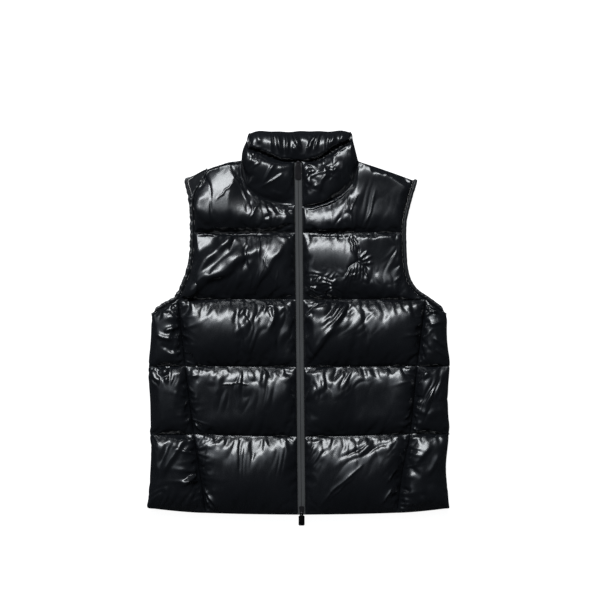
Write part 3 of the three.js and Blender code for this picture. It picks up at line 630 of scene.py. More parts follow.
# Collar: rings from the zip round the neck to the centre back
collarCut = Cut(
    puff=18, rimThick=5, baseThick=2.6, foldThick=12, reach=28, backRimY=715, insideRise=15.5,
    rimClearance=2.5, outerRows=24, innerRows=22, frontStations=56, turnStations=16, backStations=34,
    cap=8, growth=0.02,
    crest=dict(right=(2.4, 2.0), left=(0.8, 2.4)), rimWaves=((0.7, 14, 0.5), (0.5, 6.2, 1.7)), corner=4,
)
frontRim = table(
    "share rightX rightY leftX leftY", (0, -10.7, 658, 3.7, 658), (0.25, -30, 658, 30, 659),
    (0.5, -53, 665, 54, 670), (0.75, -76, 674, 75, 684), (1, -94, 681, 93, 694),
)
collarFold = table("share right left", (0, -109.6, 109.6), (0.5, -107, 104), (1, -99, 98))


def backNeckY(x):
    x = np.asarray(x, float)
    right, left = (readTable(shoulder, "x", side, body.neckHalf) for side in ("right", "left"))
    top = np.where(x < 0, right, left)
    out = np.minimum(1, np.abs(x / body.neckHalf))
    return top - body.backNeckDrop * (1 - out ** body.backNeckRound)


def rimPoint(side, share):
    return readTable(frontRim, "share", side + "X", share), readTable(frontRim, "share", side + "Y", share)


def collarThick(share):
    return collarCut.foldThick + (collarCut.rimThick - collarCut.foldThick) * share


def collarTurnX(side, share):
    return readTable(collarFold, "share", side, share) - sideSign[side] * collarThick(share)


def collarWall(side, fromZip, share):
    near, far = collarCut.crest[side]
    power = near + (far - near) * smooth(fromZip, 45, 80)
    rise = dome(share ** power) * roundUp(fromZip, collarCut.reach)
    edge = collarCut.baseThick + (collarCut.rimThick - collarCut.baseThick) * smooth(share, 0, 0.5)
    return edge + (collarCut.puff - edge) * rise + (body.zipEdgeThick - edge) * np.exp(-fromZip / 9)


def collarHalf(side):
    sign = sideSign[side]
    outer = np.linspace(0, 1, collarCut.outerRows)
    outer = 0.5 * outer + 0.5 * (1 - np.cos(math.pi * outer)) / 2
    inner = np.append(np.linspace(1, 0, collarCut.innerRows + 2)[1:-1], 0)
    rings, kinds, frees = [], [], []
    turn = abs(float(collarTurnX(side, 0)))
    inSeams = smooth(outer, 0, 0.12) * smooth(1 - outer, 0, 0.08)
    base = evenly(neckCurve(side, 120), 200) + np.array([-sign * 0.1, 0.3])
    level = body.midZ + body.gap
    front = evenly(base[np.abs(base[:, 0]) < turn], collarCut.frontStations)
    startX = abs(front[0, 0])
    rimEndX, rimEndY = rimPoint(side, 1)

    def ringOf(ox, oy, oz, ix, iy, iz, kind, outerFree, innerFree):
        rings.append(np.stack([np.concatenate(pair) for pair in ((ox, ix), (oy, iy), (oz, iz))], 1))
        kinds.append(kind)
        frees.append(np.concatenate([outerFree, innerFree]))
    for b in front:
        part = (abs(b[0]) - startX) / (turn - startX)
        tx, ty = rimPoint(side, part)
        x, y = b[0] + (tx - b[0]) * outer, b[1] + (ty - b[1]) * outer
        fromZip = np.maximum(0, np.abs(x - zipX(y)) - body.zipHalf)
        ix, iy = b[0] + (tx - b[0]) * inner, b[1] + (ty - b[1]) * inner
        wall = level + collarWall(side, fromZip, outer)
        ringOf(x, y, wall, ix, iy, level + 0 * inner, "front", inSeams * smooth(fromZip, 0, 5), 0 * inner)

    def backRimAt(x):
        wave = sum(size * math.sin(x / pitch + start) for size, pitch, start in collarCut.rimWaves)
        corner = collarCut.corner * float(smooth(abs(x), 72, 104)) ** 2
        return collarCut.backRimY + wave + 1.5 * float(smooth(x, 20, 90)) - corner

    def baseUnder(x):
        return float(backNeckY(x)) + 0.5

    def rimYAt(x):
        start, end = rimPoint(side, 0)[0], rimPoint(side, 1)[0]
        return float(rimPoint(side, min(1, max(0, (x - start) / (end - start))))[1])

    neckEndY = float(base[-1, 1])
    frontEndY = float(front[-1, 1])
    for i in range(1, collarCut.turnStations):
        around = i / collarCut.turnStations
        angle = math.pi * around
        x0 = float(collarTurnX(side, 0)) + sign * collarCut.foldThick * math.sin(angle)
        baseY = frontEndY + (neckEndY - frontEndY) * math.sin(angle) if angle < math.pi / 2 else baseUnder(x0)
        topY = float(rimEndY) + (backRimAt(float(rimEndX)) - float(rimEndY)) * float(smooth(around, 0, 1))
        x = collarTurnX(side, outer) + sign * collarThick(outer) * math.sin(angle)
        x[0] = x0
        if angle < math.pi / 2:
            reach = body.gap + collarWall(side, body.neckHalf + 0 * outer, outer)
        else:
            reach = body.midZ - lift(np.minimum(outer, 1 - outer) * (topY - baseY))
        ringOf(
            x, baseY + (topY - baseY) * outer, body.midZ + reach * math.cos(angle),
            collarTurnX(side, inner), baseY + (topY - baseY) * inner,
            body.midZ + body.gap * math.cos(angle) + 0 * inner, "turn",
            inSeams * max(0.0, math.cos(angle)), 0 * inner,
        )
    for i in range(collarCut.backStations + 1):
        part = 1 - i / collarCut.backStations
        x0 = sign * turn * part
        low = baseUnder(x0)
        high = backRimAt(x0) - low
        topX = float(collarTurnX(side, 1)) * part
        x = x0 + (topX - x0) * outer
        seenShare = (rimYAt(x0) + collarCut.rimClearance - low) / high
        raised = float(roundUp(abs(sign * turn - x0), collarCut.foldThick))
        shown = np.clip((inner - seenShare) / (1 - seenShare), 0, 1)
        inside = collarCut.insideRise * raised * dome(shown ** 0.32) * (shown > 0)
        ringOf(
            x, low + high * outer, lift(np.minimum(outer, 1 - outer) * high),
            x0 + (topX - x0) * inner, low + high * inner, body.midZ - body.gap + inside, "back",
            0 * outer, smooth(shown, 0, 0.1) * smooth(1 - shown, 0, 0.08) * raised,
        )
    return np.array(rings), kinds, np.array(frees)


def collarSheet():
    right, rightKinds, rightFree = collarHalf("right")
    left, leftKinds, leftFree = collarHalf("left")
    rings = np.concatenate([right, left[:-1][::-1]])
    kinds = rightKinds + leftKinds[:-1][::-1]
    points = inFrame(rings)
    rows, columns = points.shape[:2]
    sewn = np.zeros((rows, columns))
    sewn[:, [0, collarCut.outerRows - 1, -1]] = 1
    sewn[0] = sewn[-1] = 1
    isInner = np.arange(columns) >= collarCut.outerRows
    for i, kind in enumerate(kinds):
        hidden = points[i, :, 2] / mm < body.midZ + 0.5
        sewn[i, isInner & (hidden if kind == "back" else True)] = 1
    return Cut(
        name="collar", points=points.reshape(-1, 3), faces=ringFaces(rows, columns), sewn=sewn.ravel(),
        shape=(rows, columns),
        plan=Cut(free=np.concatenate([rightFree, leftFree[:-1][::-1]])), cap=collarCut.cap, floor=True,
        growth=collarCut.growth,
    )


sheets = {sheet.name: sheet for sheet in [
    frontSheet("right"), frontSheet("left"), sideSheet("right"), sideSheet("left"), collarSheet(),
]}


def facesOut(sheet):  # whether most of a sheet's normals point away from its inside
    a, b, c = (sheet.points[sheet.faces[:, k]] for k in range(3))
    normal = np.cross(b - a, c - a)
    if sheet.name == "collar":
        return (normal * a).sum() > 0
    return (normal[:, 2] * (a[:, 2] - body.midZ * mm)).sum() > 0


for sheet in sheets.values():
    if not facesOut(sheet):
        sheet.faces = sheet.faces[:, ::-1]
print("sheets cut:", {name: sheet.shape for name, sheet in sheets.items()})

easing = Cut(across=1, along=1)  # passes that take out the cloth's finest crumples


def eased(grid, sewn):
    held = (sewn > 0)[:, :, None]
    for axis, passes in ((1, easing.across), (0, easing.along)):
        for _ in range(passes):
            soft = (np.roll(grid, 1, axis) + np.roll(grid, -1, axis) + 2 * grid) / 4
            grid = np.where(held, grid, soft)
    return grid


begin = time.time()
names = list(sheets)
ends = inflate([sheets[name] for name in names])
for name, end in zip(names, ends):
    sheet = sheets[name]
    moved = end - sheet.points
    far = np.linalg.norm(moved, axis=1, keepdims=True)
    cap = sheet.cap * mm
    end = sheet.points + moved * np.minimum(1, cap / np.maximum(far, 1e-9))
    if sheet.get("floor"):
        end[:, 2] = np.maximum(end[:, 2], 0)
    sheet.grid = eased(end.reshape(*sheet.shape, 3), sheet.sewn.reshape(sheet.shape))
    print(name, "moved", round(float(far.max()) / mm, 1), round(float(far.mean()) / mm, 1), "mm")
print("cloth", round(time.time() - begin, 1), "s")

# Finishes for the vest
class Wire:  # a socket that takes part in Python expressions
    def __init__(self, finish, socket):
        self.finish, self.socket = finish, socket

    def maths(self, operation, *values):
        return self.finish.add("ShaderNodeMath", dict(operation=operation), dict(enumerate(values)))

    def __add__(self, other):
        return self.maths("ADD", self, other)

    def __sub__(self, other):
        return self.maths("SUBTRACT", self, other)

    def __rsub__(self, other):
        return self.maths("SUBTRACT", other, self)

    def __mul__(self, other):
        return self.maths("MULTIPLY", self, other)

    __radd__, __rmul__ = __add__, __mul__


class Finish:  # a material whose nodes are added one call at a time
    def __init__(self, name, **constants):
        self.material = bpy.data.materials.new(name)
        self.material.use_nodes = True
        self.tree = self.material.node_tree
        self.shader = self.tree.nodes["Principled BSDF"]
        self.wear(**constants)

    def feed(self, socket, value):
        if isinstance(value, Wire):
            self.tree.links.new(value.socket, socket)
        else:
            socket.default_value = value

    def add(self, kind, settings, values, output=0):
        node = self.tree.nodes.new(kind)
        for key, value in settings.items():
            if key == "stops":
                for stop in value[2:]:
                    node.color_ramp.elements.new(stop[0])
                for element, (place, colour) in zip(node.color_ramp.elements, value):
                    element.position, element.color = place, colour
            else:
                setattr(node, key, value)
        for key, value in values.items():
            self.feed(node.inputs[key], value)
        return Wire(self, node.outputs[output])

    def place(self):
        return self.add("ShaderNodeTexCoord", {}, {}, "Object")

    def noise(self, place, scale, detail=2.0, kind="FBM", **more):
        values = {"Vector": place, "Scale": scale, "Detail": detail, **more}
        return self.add("ShaderNodeTexNoise", dict(noise_type=kind, normalize=True), values)

    def threads(self, place, way, scale):
        values = {"Vector": place, "Scale": scale, "Distortion": 0.6}
        return self.add("ShaderNodeTexWave", dict(bands_direction=way), values)

    def stretched(self, place, scale, turn=0.0):
        return self.add("ShaderNodeMapping", {}, {"Vector": place, "Scale": scale, "Rotation": (0, 0, turn)})

    def mixed(self, factor, a, b):
        return self.add("ShaderNodeMix", dict(data_type="RGBA"), {0: factor, 6: a, 7: b}, 2)

    def bump(self, height, distance, strength=1.0, under=None):
        values = {"Height": height, "Distance": distance, "Strength": strength}
        if under:
            values["Normal"] = under
        return self.add("ShaderNodeBump", {}, values)

    def wear(self, **sockets):
        for socket, value in sockets.items():
            self.feed(self.shader.inputs[socket.replace("_", " ")], value)
        return self.material


nylon = Cut(dark=(0.0042, 0.0048, 0.0062, 1), light=(0.0075, 0.0085, 0.0105, 1), rough=0.24, crinkle=0.0007)


def nylonFinish():
    finish = Finish("blackNylon", Specular_IOR_Level=0.62)
    place = finish.place()
    warp = finish.noise(place, 22.0, 2.0)
    soft = finish.noise(finish.stretched(place, (1.0, 0.45, 1.0)), 70.0, 3.0, Distortion=1.2)
    leaning = finish.stretched(place, (1.0, 0.55, 1.0), 0.5)
    creased = finish.noise(leaning, 55.0, 4.0, "RIDGED_MULTIFRACTAL", Distortion=0.6)
    crinkle = soft * 0.6 + creased * 0.35
    weave = finish.noise(place, 900.0, 1.0)
    normal = finish.bump(crinkle, nylon.crinkle, 0.55)
    normal = finish.bump(weave, 0.00006, 0.4, normal)
    return finish.wear(
        Base_Color=finish.mixed(warp, nylon.dark, nylon.light),
        Roughness=soft * 0.12 + (nylon.rough - 0.05),
        Normal=normal,
    )


def bindingFinish():
    finish = Finish("foldedBinding")
    place = finish.place()
    grain = finish.noise(place, 420.0, 2.0)
    puckers = finish.noise(place, 120.0, 3.0)
    return finish.wear(
        Base_Color=finish.mixed(puckers, (0.0035, 0.004, 0.005, 1), (0.007, 0.008, 0.010, 1)),
        Roughness=grain * 0.1 + 0.32,
        Normal=finish.bump(puckers + grain * 0.2, 0.0007, 0.6),
    )


def tapeFinish():
    finish = Finish("wovenTape")
    place = finish.place()
    weave = finish.threads(place, "X", 420.0) * finish.threads(place, "Y", 500.0)
    dust = finish.noise(place, 90.0, 3.0)
    # broad paler and darker stretches along the tape: painted sheen and painted shade that stand in for how
    # the light changes along it
    drift = finish.noise(place, 7.0, 2.0)
    # the tape is paler with its weave and its dust, and where the painted sheen falls
    paler = weave * 0.5 + dust * 0.25 + drift * 0.9 - 0.3
    return finish.wear(
        Base_Color=finish.mixed(paler, (0.035, 0.036, 0.037, 1), (0.085, 0.087, 0.088, 1)),
        Roughness=0.78 + dust * 0.12,
        Normal=finish.bump(weave, 0.0002, 0.5),
    )


def metalFinish():
    finish = Finish("satinBlackMetal", Metallic=0.9)
    place = finish.place()
    scratches = finish.noise(finish.stretched(place, (1.0, 0.12, 1.0)), 900.0, 3.0)
    spots = finish.noise(place, 160.0, 2.0)
    return finish.wear(
        Base_Color=finish.mixed(spots, (0.022, 0.021, 0.023, 1), (0.045, 0.042, 0.046, 1)),
        Roughness=scratches * 0.15 + 0.34,
        Normal=finish.bump(scratches, 0.00005, 0.5),
    )


def threadFinish():
    finish = Finish("sewingThread")
    twist = finish.noise(finish.place(), 1500.0, 2.0)
    return finish.wear(
        Base_Color=finish.mixed(twist, (0.005, 0.0055, 0.0065, 1), (0.014, 0.015, 0.017, 1)),
        Roughness=0.55 + twist * 0.15,
    )


finishes = Cut(
    nylon=nylonFinish(), binding=bindingFinish(), tape=tapeFinish(), metal=metalFinish(),
    thread=threadFinish(),
)

# Fronts, over which the small creases are pressed after the cloth has settled
creases = [
    foldRow(-178, 633, -163, 585, 1.5, -1.1, bow=3),
    foldRow(-163, 586, -159, 527, 1.6, -1.4, bow=-3),
    foldRow(-125, 616, -155, 585, 1.2, 1.3),
    foldRow(-127, 633, -99, 586, 2.5, 1.5, bow=2),
    foldRow(-71, 586, -97, 545, 1.5, 1.5, bow=-2),
    foldRow(-65, 577, -60, 552, 1.4, 1.2),
    foldRow(-47, 580, -34, 563, 1.6, 1.2),
    foldRow(-97, 523, -94, 418, 1.2, 1.2, bow=2),
    foldRow(-76, 526, -75, 470, 1.2, 1.2, bow=-1),
    foldRow(-43, 455, -48, 418, 1.1, 1.1),
    foldRow(-71, 478, -47, 430, 1.3, 1.0),
    foldRow(-60, 492, -86, 410, 1.3, 1.0),
    foldRow(-146, 242, -95, 241, 1.3, 1.2, bow=2),
    foldRow(92, 605, 96, 534, 1.3, 1.5),
    foldRow(108, 596, 94, 564, 1.3, 1.3),
    foldRow(140, 605, 118, 534, 1.5, 1.4, bow=3),
    foldRow(98, 525, 111, 489, 1.8, -2.2),
    foldRow(110, 468, 109, 500, 2.0, -3.0, sharp=True),
    foldRow(112, 474, 88, 458, 2.0, -2.6, sharp=True),
    foldRow(108, 474, 129, 457, 2.0, -2.6, sharp=True),
    foldRow(97, 464, 84, 438, 1.8, 1.9),
    foldRow(102, 465, 93, 433, 1.7, 2.1),
    foldRow(106, 466, 101, 436, 1.6, 2.0),
    foldRow(111, 466, 109, 440, 1.6, 2.2),
    foldRow(115, 466, 118, 444, 1.6, 2.1),
    foldRow(120, 462, 126, 428, 1.4, 1.6),
    foldRow(111, 474, 126, 490, 1.7, 2.2),
    foldRow(113, 470, 134, 480, 1.7, 2.0),
    foldRow(114, 466, 136, 468, 1.6, 1.8),
    foldRow(104, 478, 94, 526, 2.0, 1.8, bow=2),
    foldRow(46, 20, 104, 74, 2.0, 1.2),
]


laidFlat = Cut(heights=(0.70, 0.76, 0.86, 0.84, 0.9))  # how much of its puff each channel keeps, lying down
# Where a channel's crest lies nearer its lower seam, so that it slopes up to the upper one
leaning = table("x y reachX reachY height", (-176, 590, 88, 56, 6.5), (58, 588, 50, 42, 8.0))
# Where it rises from its upper seam at a slope that eases off towards a distance
slopes = table(
    "x y reachX reachY slope far soft", (62, 600, 64, 70, 0.48, 54, 2.0), (-150, 620, 60, 70, 0.42, 110, 1.5),
    (56, 488, 50, 60, 0.52, 62, 3.0), (-176, 512, 26, 26, 0.50, 40, 1.5),
)
# Where the cloth rises steeply from its seam and then lies nearly flat
flatTops = table(
    "x y reachX reachY top soft", (148, 600, 52, 56, 14, 1.6), (160, 490, 60, 60, 12.5, 1.0),
    (-140, 225, 70, 60, 17, 3), (130, 225, 44, 60, 17, 3), (-20, 340, 30, 60, 16, 3),
)
bigFolds = [
    foldRow(-246, 388, -70, 500, 12, 7.0, skew=0.4, bow=3),
    foldRow(-236, 390, -140, 458, 9, 5.0, skew=0.45, bow=2),
    foldRow(-186, 430, -112, 508, 5, -1.4, bow=2),
    foldRow(-200, 442, -116, 536, 9, 4.4, skew=0.4, bow=-2),
    foldRow(-120, 420, -84, 484, 8, 2.4, skew=0.4),
    foldRow(-92, 420, -30, 506, 7, 3.2, skew=0.4, bow=-3),
    foldRow(-190, 618, -189, 552, 8, 3.2),
    foldRow(-178, 640, -187, 604, 2.6, -2.0, bow=3),
    foldRow(-99, 388, -114, 368, 4, 3.0),
    foldRow(-90, 368, -116, 336, 8, 2.4),
    foldRow(-106, 340, -96, 300, 6, 1.6),
    foldRow(-68, 374, -50, 390, 3.5, 2.4, bow=6),
    foldRow(-50, 392, -60, 340, 4, 3.0, bow=3),
    foldRow(-148, 262, -152, 222, 6, 1.6),
    foldRow(-66, 268, -72, 236, 6, 1.8),
    foldRow(10, 284, 62, 350, 8, 5.5, skew=0.45, bow=-2),
    foldRow(44, 326, 92, 398, 6, 3.0, skew=0.4, bow=-4),
    foldRow(40, 352, 86, 394, 5, 2.4),
    foldRow(190, 176, 214, 196, 2.6, 2.4),
    foldRow(34, 14, 118, 94, 3.0, 2.4, sharp=True, bow=2),
    foldRow(100, 96, 134, 140, 7, 2.0),
    foldRow(-184, 52, -150, 12, 3.0, 3.8, wander=0.01, sharp=True),
    foldRow(-180, 34, -158, 8, 2.4, 3.0, wander=0.01),
    foldRow(150, 20, 172, 52, 2.6, 3.0, sharp=True),
    foldRow(-198, 172, -184, 152, 2.8, 3.0),
    foldRow(158, 58, 182, 88, 3.0, 2.6, sharp=True),
]
crumpled = [
    crumpleRow(-100, 466, 40, 44, 19, 3.0, 62, 0.9),
    crumpleRow(40, 425, 32, 24, 12, 1.6, 10, 2.0),
    crumpleRow(112, 440, 34, 18, 11, 2.6, 95, 0.9),
    crumpleRow(-62, 350, 52, 46, 22, 2.2, 85, 1.6),
    crumpleRow(60, 366, 62, 30, 17, 2.6, 50, 1.9),
    crumpleRow(-95, 232, 82, 34, 21, 2.2, 88, 0.9),
    crumpleRow(70, 240, 60, 30, 20, 2.2, 60, 0.9),
    crumpleRow(-100, 110, 84, 36, 22, 2.6, 84, 0.8),
    crumpleRow(80, 112, 80, 36, 20, 2.6, 60, 1.1),
    crumpleRow(-60, 560, 34, 30, 13, 2.6, 75, 1.1),
    crumpleRow(105, 560, 60, 50, 22, 2.4, 70, 0.8),
    crumpleRow(190, 470, 30, 50, 12, 3.0, 50, 1.2),
]


def spotShare(x, y, spot):
    return np.exp(-((x - spot.x) / spot.reachX) ** 4 - ((y - spot.y) / spot.reachY) ** 4)


def laidDown(grid, plan, level):
    # Lowers a panel's filling, and gives the marked places their own slopes
    height = grid[:, :, 2] / mm - level
    x, y = plan.x, plan.y
    channel = np.clip(np.floor(plan.channel + 1e-3), 0, len(quiltSeams) - 1).astype(int)
    edge = plan.edgeHeight
    height = edge + (height - edge) * np.array(laidFlat.heights)[channel]
    for spot in flatTops:
        flat = spot.top - spot.soft * np.log1p(np.exp((spot.top - height) / spot.soft))
        height = height + (flat - height) * spotShare(x, y, spot)
    for spot in leaning:
        dx, dy = (x - spot.x) / spot.reachX, (y - spot.y) / spot.reachY
        height = height - plan.free * spot.height * 2.3 * dy * np.exp(-dx ** 2 - dy ** 2)
    for spot in slopes:
        share = spotShare(x, y, spot)
        away = np.clip(plan.high - y, 0, spot.far)
        ramp = edge + spot.slope * away * (1 - away / (2 * spot.far))
        flat = ramp - spot.soft * np.log1p(np.exp(np.clip((ramp - height) / spot.soft, -30, 30)))
        flat = np.maximum(flat, np.minimum(edge, height))
        height = height + (flat - height) * share * np.clip(plan.free, 0, 1)
    out = grid.copy()
    out[:, :, 2] = (height + level) * mm
    return out


def pressed(grid, plan, folds, outward=(0, 0, 1)):
    normals = gridNormals(grid, np.array(outward, float))
    push = foldHeights(plan.x, plan.y, folds) + plan.push
    return grid + normals * (push * np.clip(plan.free, 0, 1))[:, :, None] * mm


def frontPiece(side):
    sheet = sheets["front_" + side]
    grid = refined(sheet.grid)
    plan = Cut((key, refinedMap(sheet.plan[key])) for key in ("x", "y", "low", "high", "start", "end"))
    rowChannel = np.repeat(sheet.plan.channel[:, 0], 2)[:-1]
    plan.channel = np.repeat(rowChannel[:, None], grid.shape[1], 1)
    seamAway = np.minimum(plan.y - plan.low, plan.high - plan.y)
    edgeAway = np.minimum(np.abs(plan.x - plan.start), np.abs(plan.end - plan.x))
    plan.free = smooth(np.minimum(seamAway, edgeAway), 0, 9)
    plan.edgeHeight = body.seamThick + 0 * seamAway
    grid = laidDown(grid, plan, sheet.level)
    seed = frontPuff.gatherSeed + 500 + (5 if side == "left" else 0)
    plan.push = seamGathers(plan, seed, 0, 1.0, 0, longGathers)
    grid[:, :, 2] += seamGathers(plan, seed + 3, 0.5, 1.0, 0, seamPuckers) * smooth(edgeAway, 0, 6) * mm
    below = smooth(body.armpitY - plan.y, 0, 12)
    longSeamSeed = frontPuff.gatherSeed + (703 if side == "left" else 701)
    fromSeam = np.abs(plan.end - plan.x)
    plan.push += below * gatherField(plan.y, fromSeam, longSeamSeed, 0.7, edgeGathers)
    grid = pressed(grid, plan, bigFolds + creases + crumpled)
    quilted(closedPanel("vestFront" + side.capitalize(), grid, sheet.level), "front_" + side)


sideFolds = [
    crumpleRow(-260, 386, 24, 14, 11, 1.8, 25, 3.0),
    foldRow(-270, 338, -236, 326, 4.6, 4.0, bow=-2),
    foldRow(-252, 340, -234, 348, 3.4, 2.6),
    foldRow(-258, 318, -232, 302, 5, -2.2),
    crumpleRow(-262, 262, 26, 18, 13, 1.8, 70, 2.2),
    foldRow(-256, 70, -214, 140, 6, 4.0, bow=3),
    foldRow(-220, 54, -186, 77, 3.6, 5.0, wander=0.01),
    foldRow(-262, 88, -240, 136, 5, -3.0),
    crumpleRow(-236, 24, 40, 26, 19, 2.0, 60, 1.8),
    crumpleRow(244, 384, 24, 13, 10, 1.8, -25, 3.0),
    foldRow(248, 330, 272, 312, 4, 2.6),
    foldRow(240, 352, 268, 360, 4, 2.2),
    foldRow(252, 310, 276, 292, 4, 2.0),
    foldRow(222, 240, 240, 266, 5, 2.8),
    crumpleRow(252, 210, 26, 40, 19, 2.0, 60, 1.8),
    foldRow(210, 92, 244, 128, 6, 2.6, bow=-3),
    foldRow(236, 70, 262, 112, 5, 2.2),
    crumpleRow(232, 30, 40, 26, 19, 2.0, 110, 1.6),
]


def sidePiece(side):
    sheet = sheets["side_" + side]
    grid = refined(sheet.grid)
    sign = sideSign[side]
    plan = Cut((key, refinedMap(sheet.plan[key])) for key in ("x", "y", "s", "share"))
    s = plan.s
    plan.free = smooth(dome(plan.share), 0.15, 0.6) * smooth(s, 0, 0.12) * smooth(3 - s, 0, 0.2)
    seed = sidePuff.gatherSeed + (603 if side == "left" else 601)
    plan.push = gatherField(plan.y, sidePuff.topWidth * np.clip(s, 0, 3), seed, 1.0, edgeGathers)
    grid = pressed(grid, plan, sideFolds, np.stack([sign * (s - 0.5), 0 * s, 1.6 - s], 2))
    grid[:, :, 2] = np.maximum(grid[:, :, 2], 0)
    # The inner faces of the two layers meet at the middle height, a little apart
    gap, inset = body.gap * mm, sidePuff.foldInset * mm
    foldX = grid[:, :, 0].max(1) - inset if sign > 0 else grid[:, :, 0].min(1) + inset
    foldY = grid[:, 2 * sidePuff.topColumns, 1]
    upX, downX, seam = grid[:, 0, 0], grid[:, -1, 0], grid[:, 0, 1]
    corners = ((downX, seam, -gap), (foldX, foldY, -gap), (foldX, foldY, gap), (upX, seam, gap))
    inner = [np.stack([x, y, body.midZ * mm + z + 0 * x], 1)[:, None] for x, y, z in corners]
    piece = closedRings("vestSide" + side.capitalize(), np.concatenate([grid] + inner, 1))
    quilted(piece, "side_" + side)


collarFolds = [
    foldRow(-44, 663, -71, 613, 3.4, 2.4, wander=0.01, skew=0.3),
    foldRow(-30, 636, -76, 609, 2.2, 3.0, sharp=True, bow=1, wander=0.01),
    foldRow(-91, 645, -71, 659, 1.8, 1.5, sharp=True),
    crumpleRow(-73, 668, 16, 9, 9, 1.6, 70, 2.2),
    foldRow(-30, 594, -56, 602, 5, 1.6),
    foldRow(6, 657, 34, 648, 4.0, 2.4),
    foldRow(4, 628, 32, 645, 4.4, 2.4),
    foldRow(3, 630, 33, 608, 4.2, 2.6),
    foldRow(6, 616, 24, 604, 4.2, 2.0),
    foldRow(20, 600, 24, 622, 4.0, -1.8),
    foldRow(28, 594, 46, 648, 5.5, 3.0, bow=-5),
    foldRow(38, 642, 74, 636, 5.0, 2.6, bow=4),
    foldRow(44, 630, 70, 646, 3.6, 2.0),
    foldRow(54, 624, 62, 650, 3.6, -2.0),
    crumpleRow(60, 640, 24, 15, 11, 1.6, 30, 1.6),
    crumpleRow(22, 634, 18, 26, 12, 1.8, 30, 1.4),
    crumpleRow(39, 664, 11, 10, 9, 1.6, 60, 1.6),
    foldRow(54, 664, 92, 690, 2.6, 2.2),
    foldRow(-52, 716, -52, 668, 2.2, 3.4, sharp=True),
    foldRow(-46, 718, -34, 670, 4.2, 5.2),
    foldRow(-26, 718, -24, 668, 3.2, 5.0),
    foldRow(-17, 718, 1, 676, 3.8, 5.0),
    foldRow(-13, 690, -5, 658, 4.2, 3.6),
    foldRow(31, 718, 13, 674, 3.8, 5.0),
    foldRow(40, 718, 25, 676, 3.0, 3.6),
    foldRow(54, 720, 48, 668, 4.2, 5.4),
    foldRow(66, 718, 56, 686, 3.8, 4.4),
    foldRow(-80, 716, -76, 690, 5.0, 2.2),
    foldRow(80, 716, 76, 694, 4.0, 3.0),
]


tabRoom = Cut(halfWidth=8.5, fade=7, below=1.9, rise=0.46, reach=32)


def collarPiece():
    sheet = sheets["collar"]
    grid = refined(sheet.grid, closed=True)
    free = refinedMap(sheet.plan.free, closed=True)
    x, y = ((grid[:, :, k] - drawingOrigin[k]) / mm for k in (0, 1))
    grid[:, :, 2] += foldHeights(x, y, collarFolds) * np.clip(free, 0, 1) * mm
    # Room for the top tab, which can be turned back over the collar
    back = y - topPivotY
    ceiling = pivots["top_tab_hinge"][2] / mm - tabRoom.below + tabRoom.rise * back
    across = 1 - smooth(np.abs(x - zipX(y)), tabRoom.halfWidth, tabRoom.halfWidth + tabRoom.fade)
    along = smooth(back, -6, -1) * (1 - smooth(back, tabRoom.reach, tabRoom.reach + tabRoom.fade))
    grid[:, :, 2] -= across * along * np.maximum(grid[:, :, 2] - ceiling * mm, 0)
    quilted(closedRings("standCollar", grid), "collar")


backCut = Cut(
    columns=129, rowCounts=(48, 46, 46, 46, 48), grooveDepth=9.0, gatherSeed=401, gathered=0.7, mostLift=13.9,
)
backGathers = Cut(pitch=12, longest=40, width=3.2, height=2.6)
backFolds = [  # creases underneath, where the cloth lies on the table
    foldRow(-190, 300, -90, 372, 4, 4.0, bow=5),
    foldRow(-60, 290, -20, 384, 3.5, 3.4),
    foldRow(40, 382, 70, 296, 4, 3.6, bow=-4),
    foldRow(110, 300, 196, 350, 4, 4.2),
    foldRow(-170, 430, -70, 500, 4.5, 4.4, bow=-6),
    foldRow(-40, 512, -10, 430, 3.5, 3.0),
    foldRow(60, 420, 150, 505, 4.5, 4.4, bow=5),
    foldRow(-150, 620, -96, 545, 4, 3.8),
    foldRow(-30, 560, 40, 604, 4, 3.4, bow=4),
    foldRow(120, 622, 96, 540, 4, 3.8),
    foldRow(-160, 250, -128, 166, 4, 3.6),
    foldRow(-70, 170, 20, 236, 4, 4.0, bow=-5),
    foldRow(90, 256, 160, 180, 4, 3.8),
    foldRow(-150, 30, -70, 110, 4.5, 4.0, bow=4),
    foldRow(-20, 130, 10, 50, 3.5, 3.2),
    foldRow(60, 30, 150, 96, 4.5, 4.2, bow=-4),
    crumpleRow(-110, 350, 60, 34, 20, 2.2, 80, 1.6),
    crumpleRow(90, 470, 60, 40, 20, 2.2, 70, 1.6),
    crumpleRow(-80, 600, 60, 34, 18, 2.2, 95, 1.6),
    crumpleRow(60, 220, 70, 40, 21, 2.2, 85, 1.6),
    crumpleRow(-60, 90, 70, 40, 21, 2.2, 75, 1.6),
    crumpleRow(120, 340, 50, 34, 18, 2.2, 100, 1.6),
]


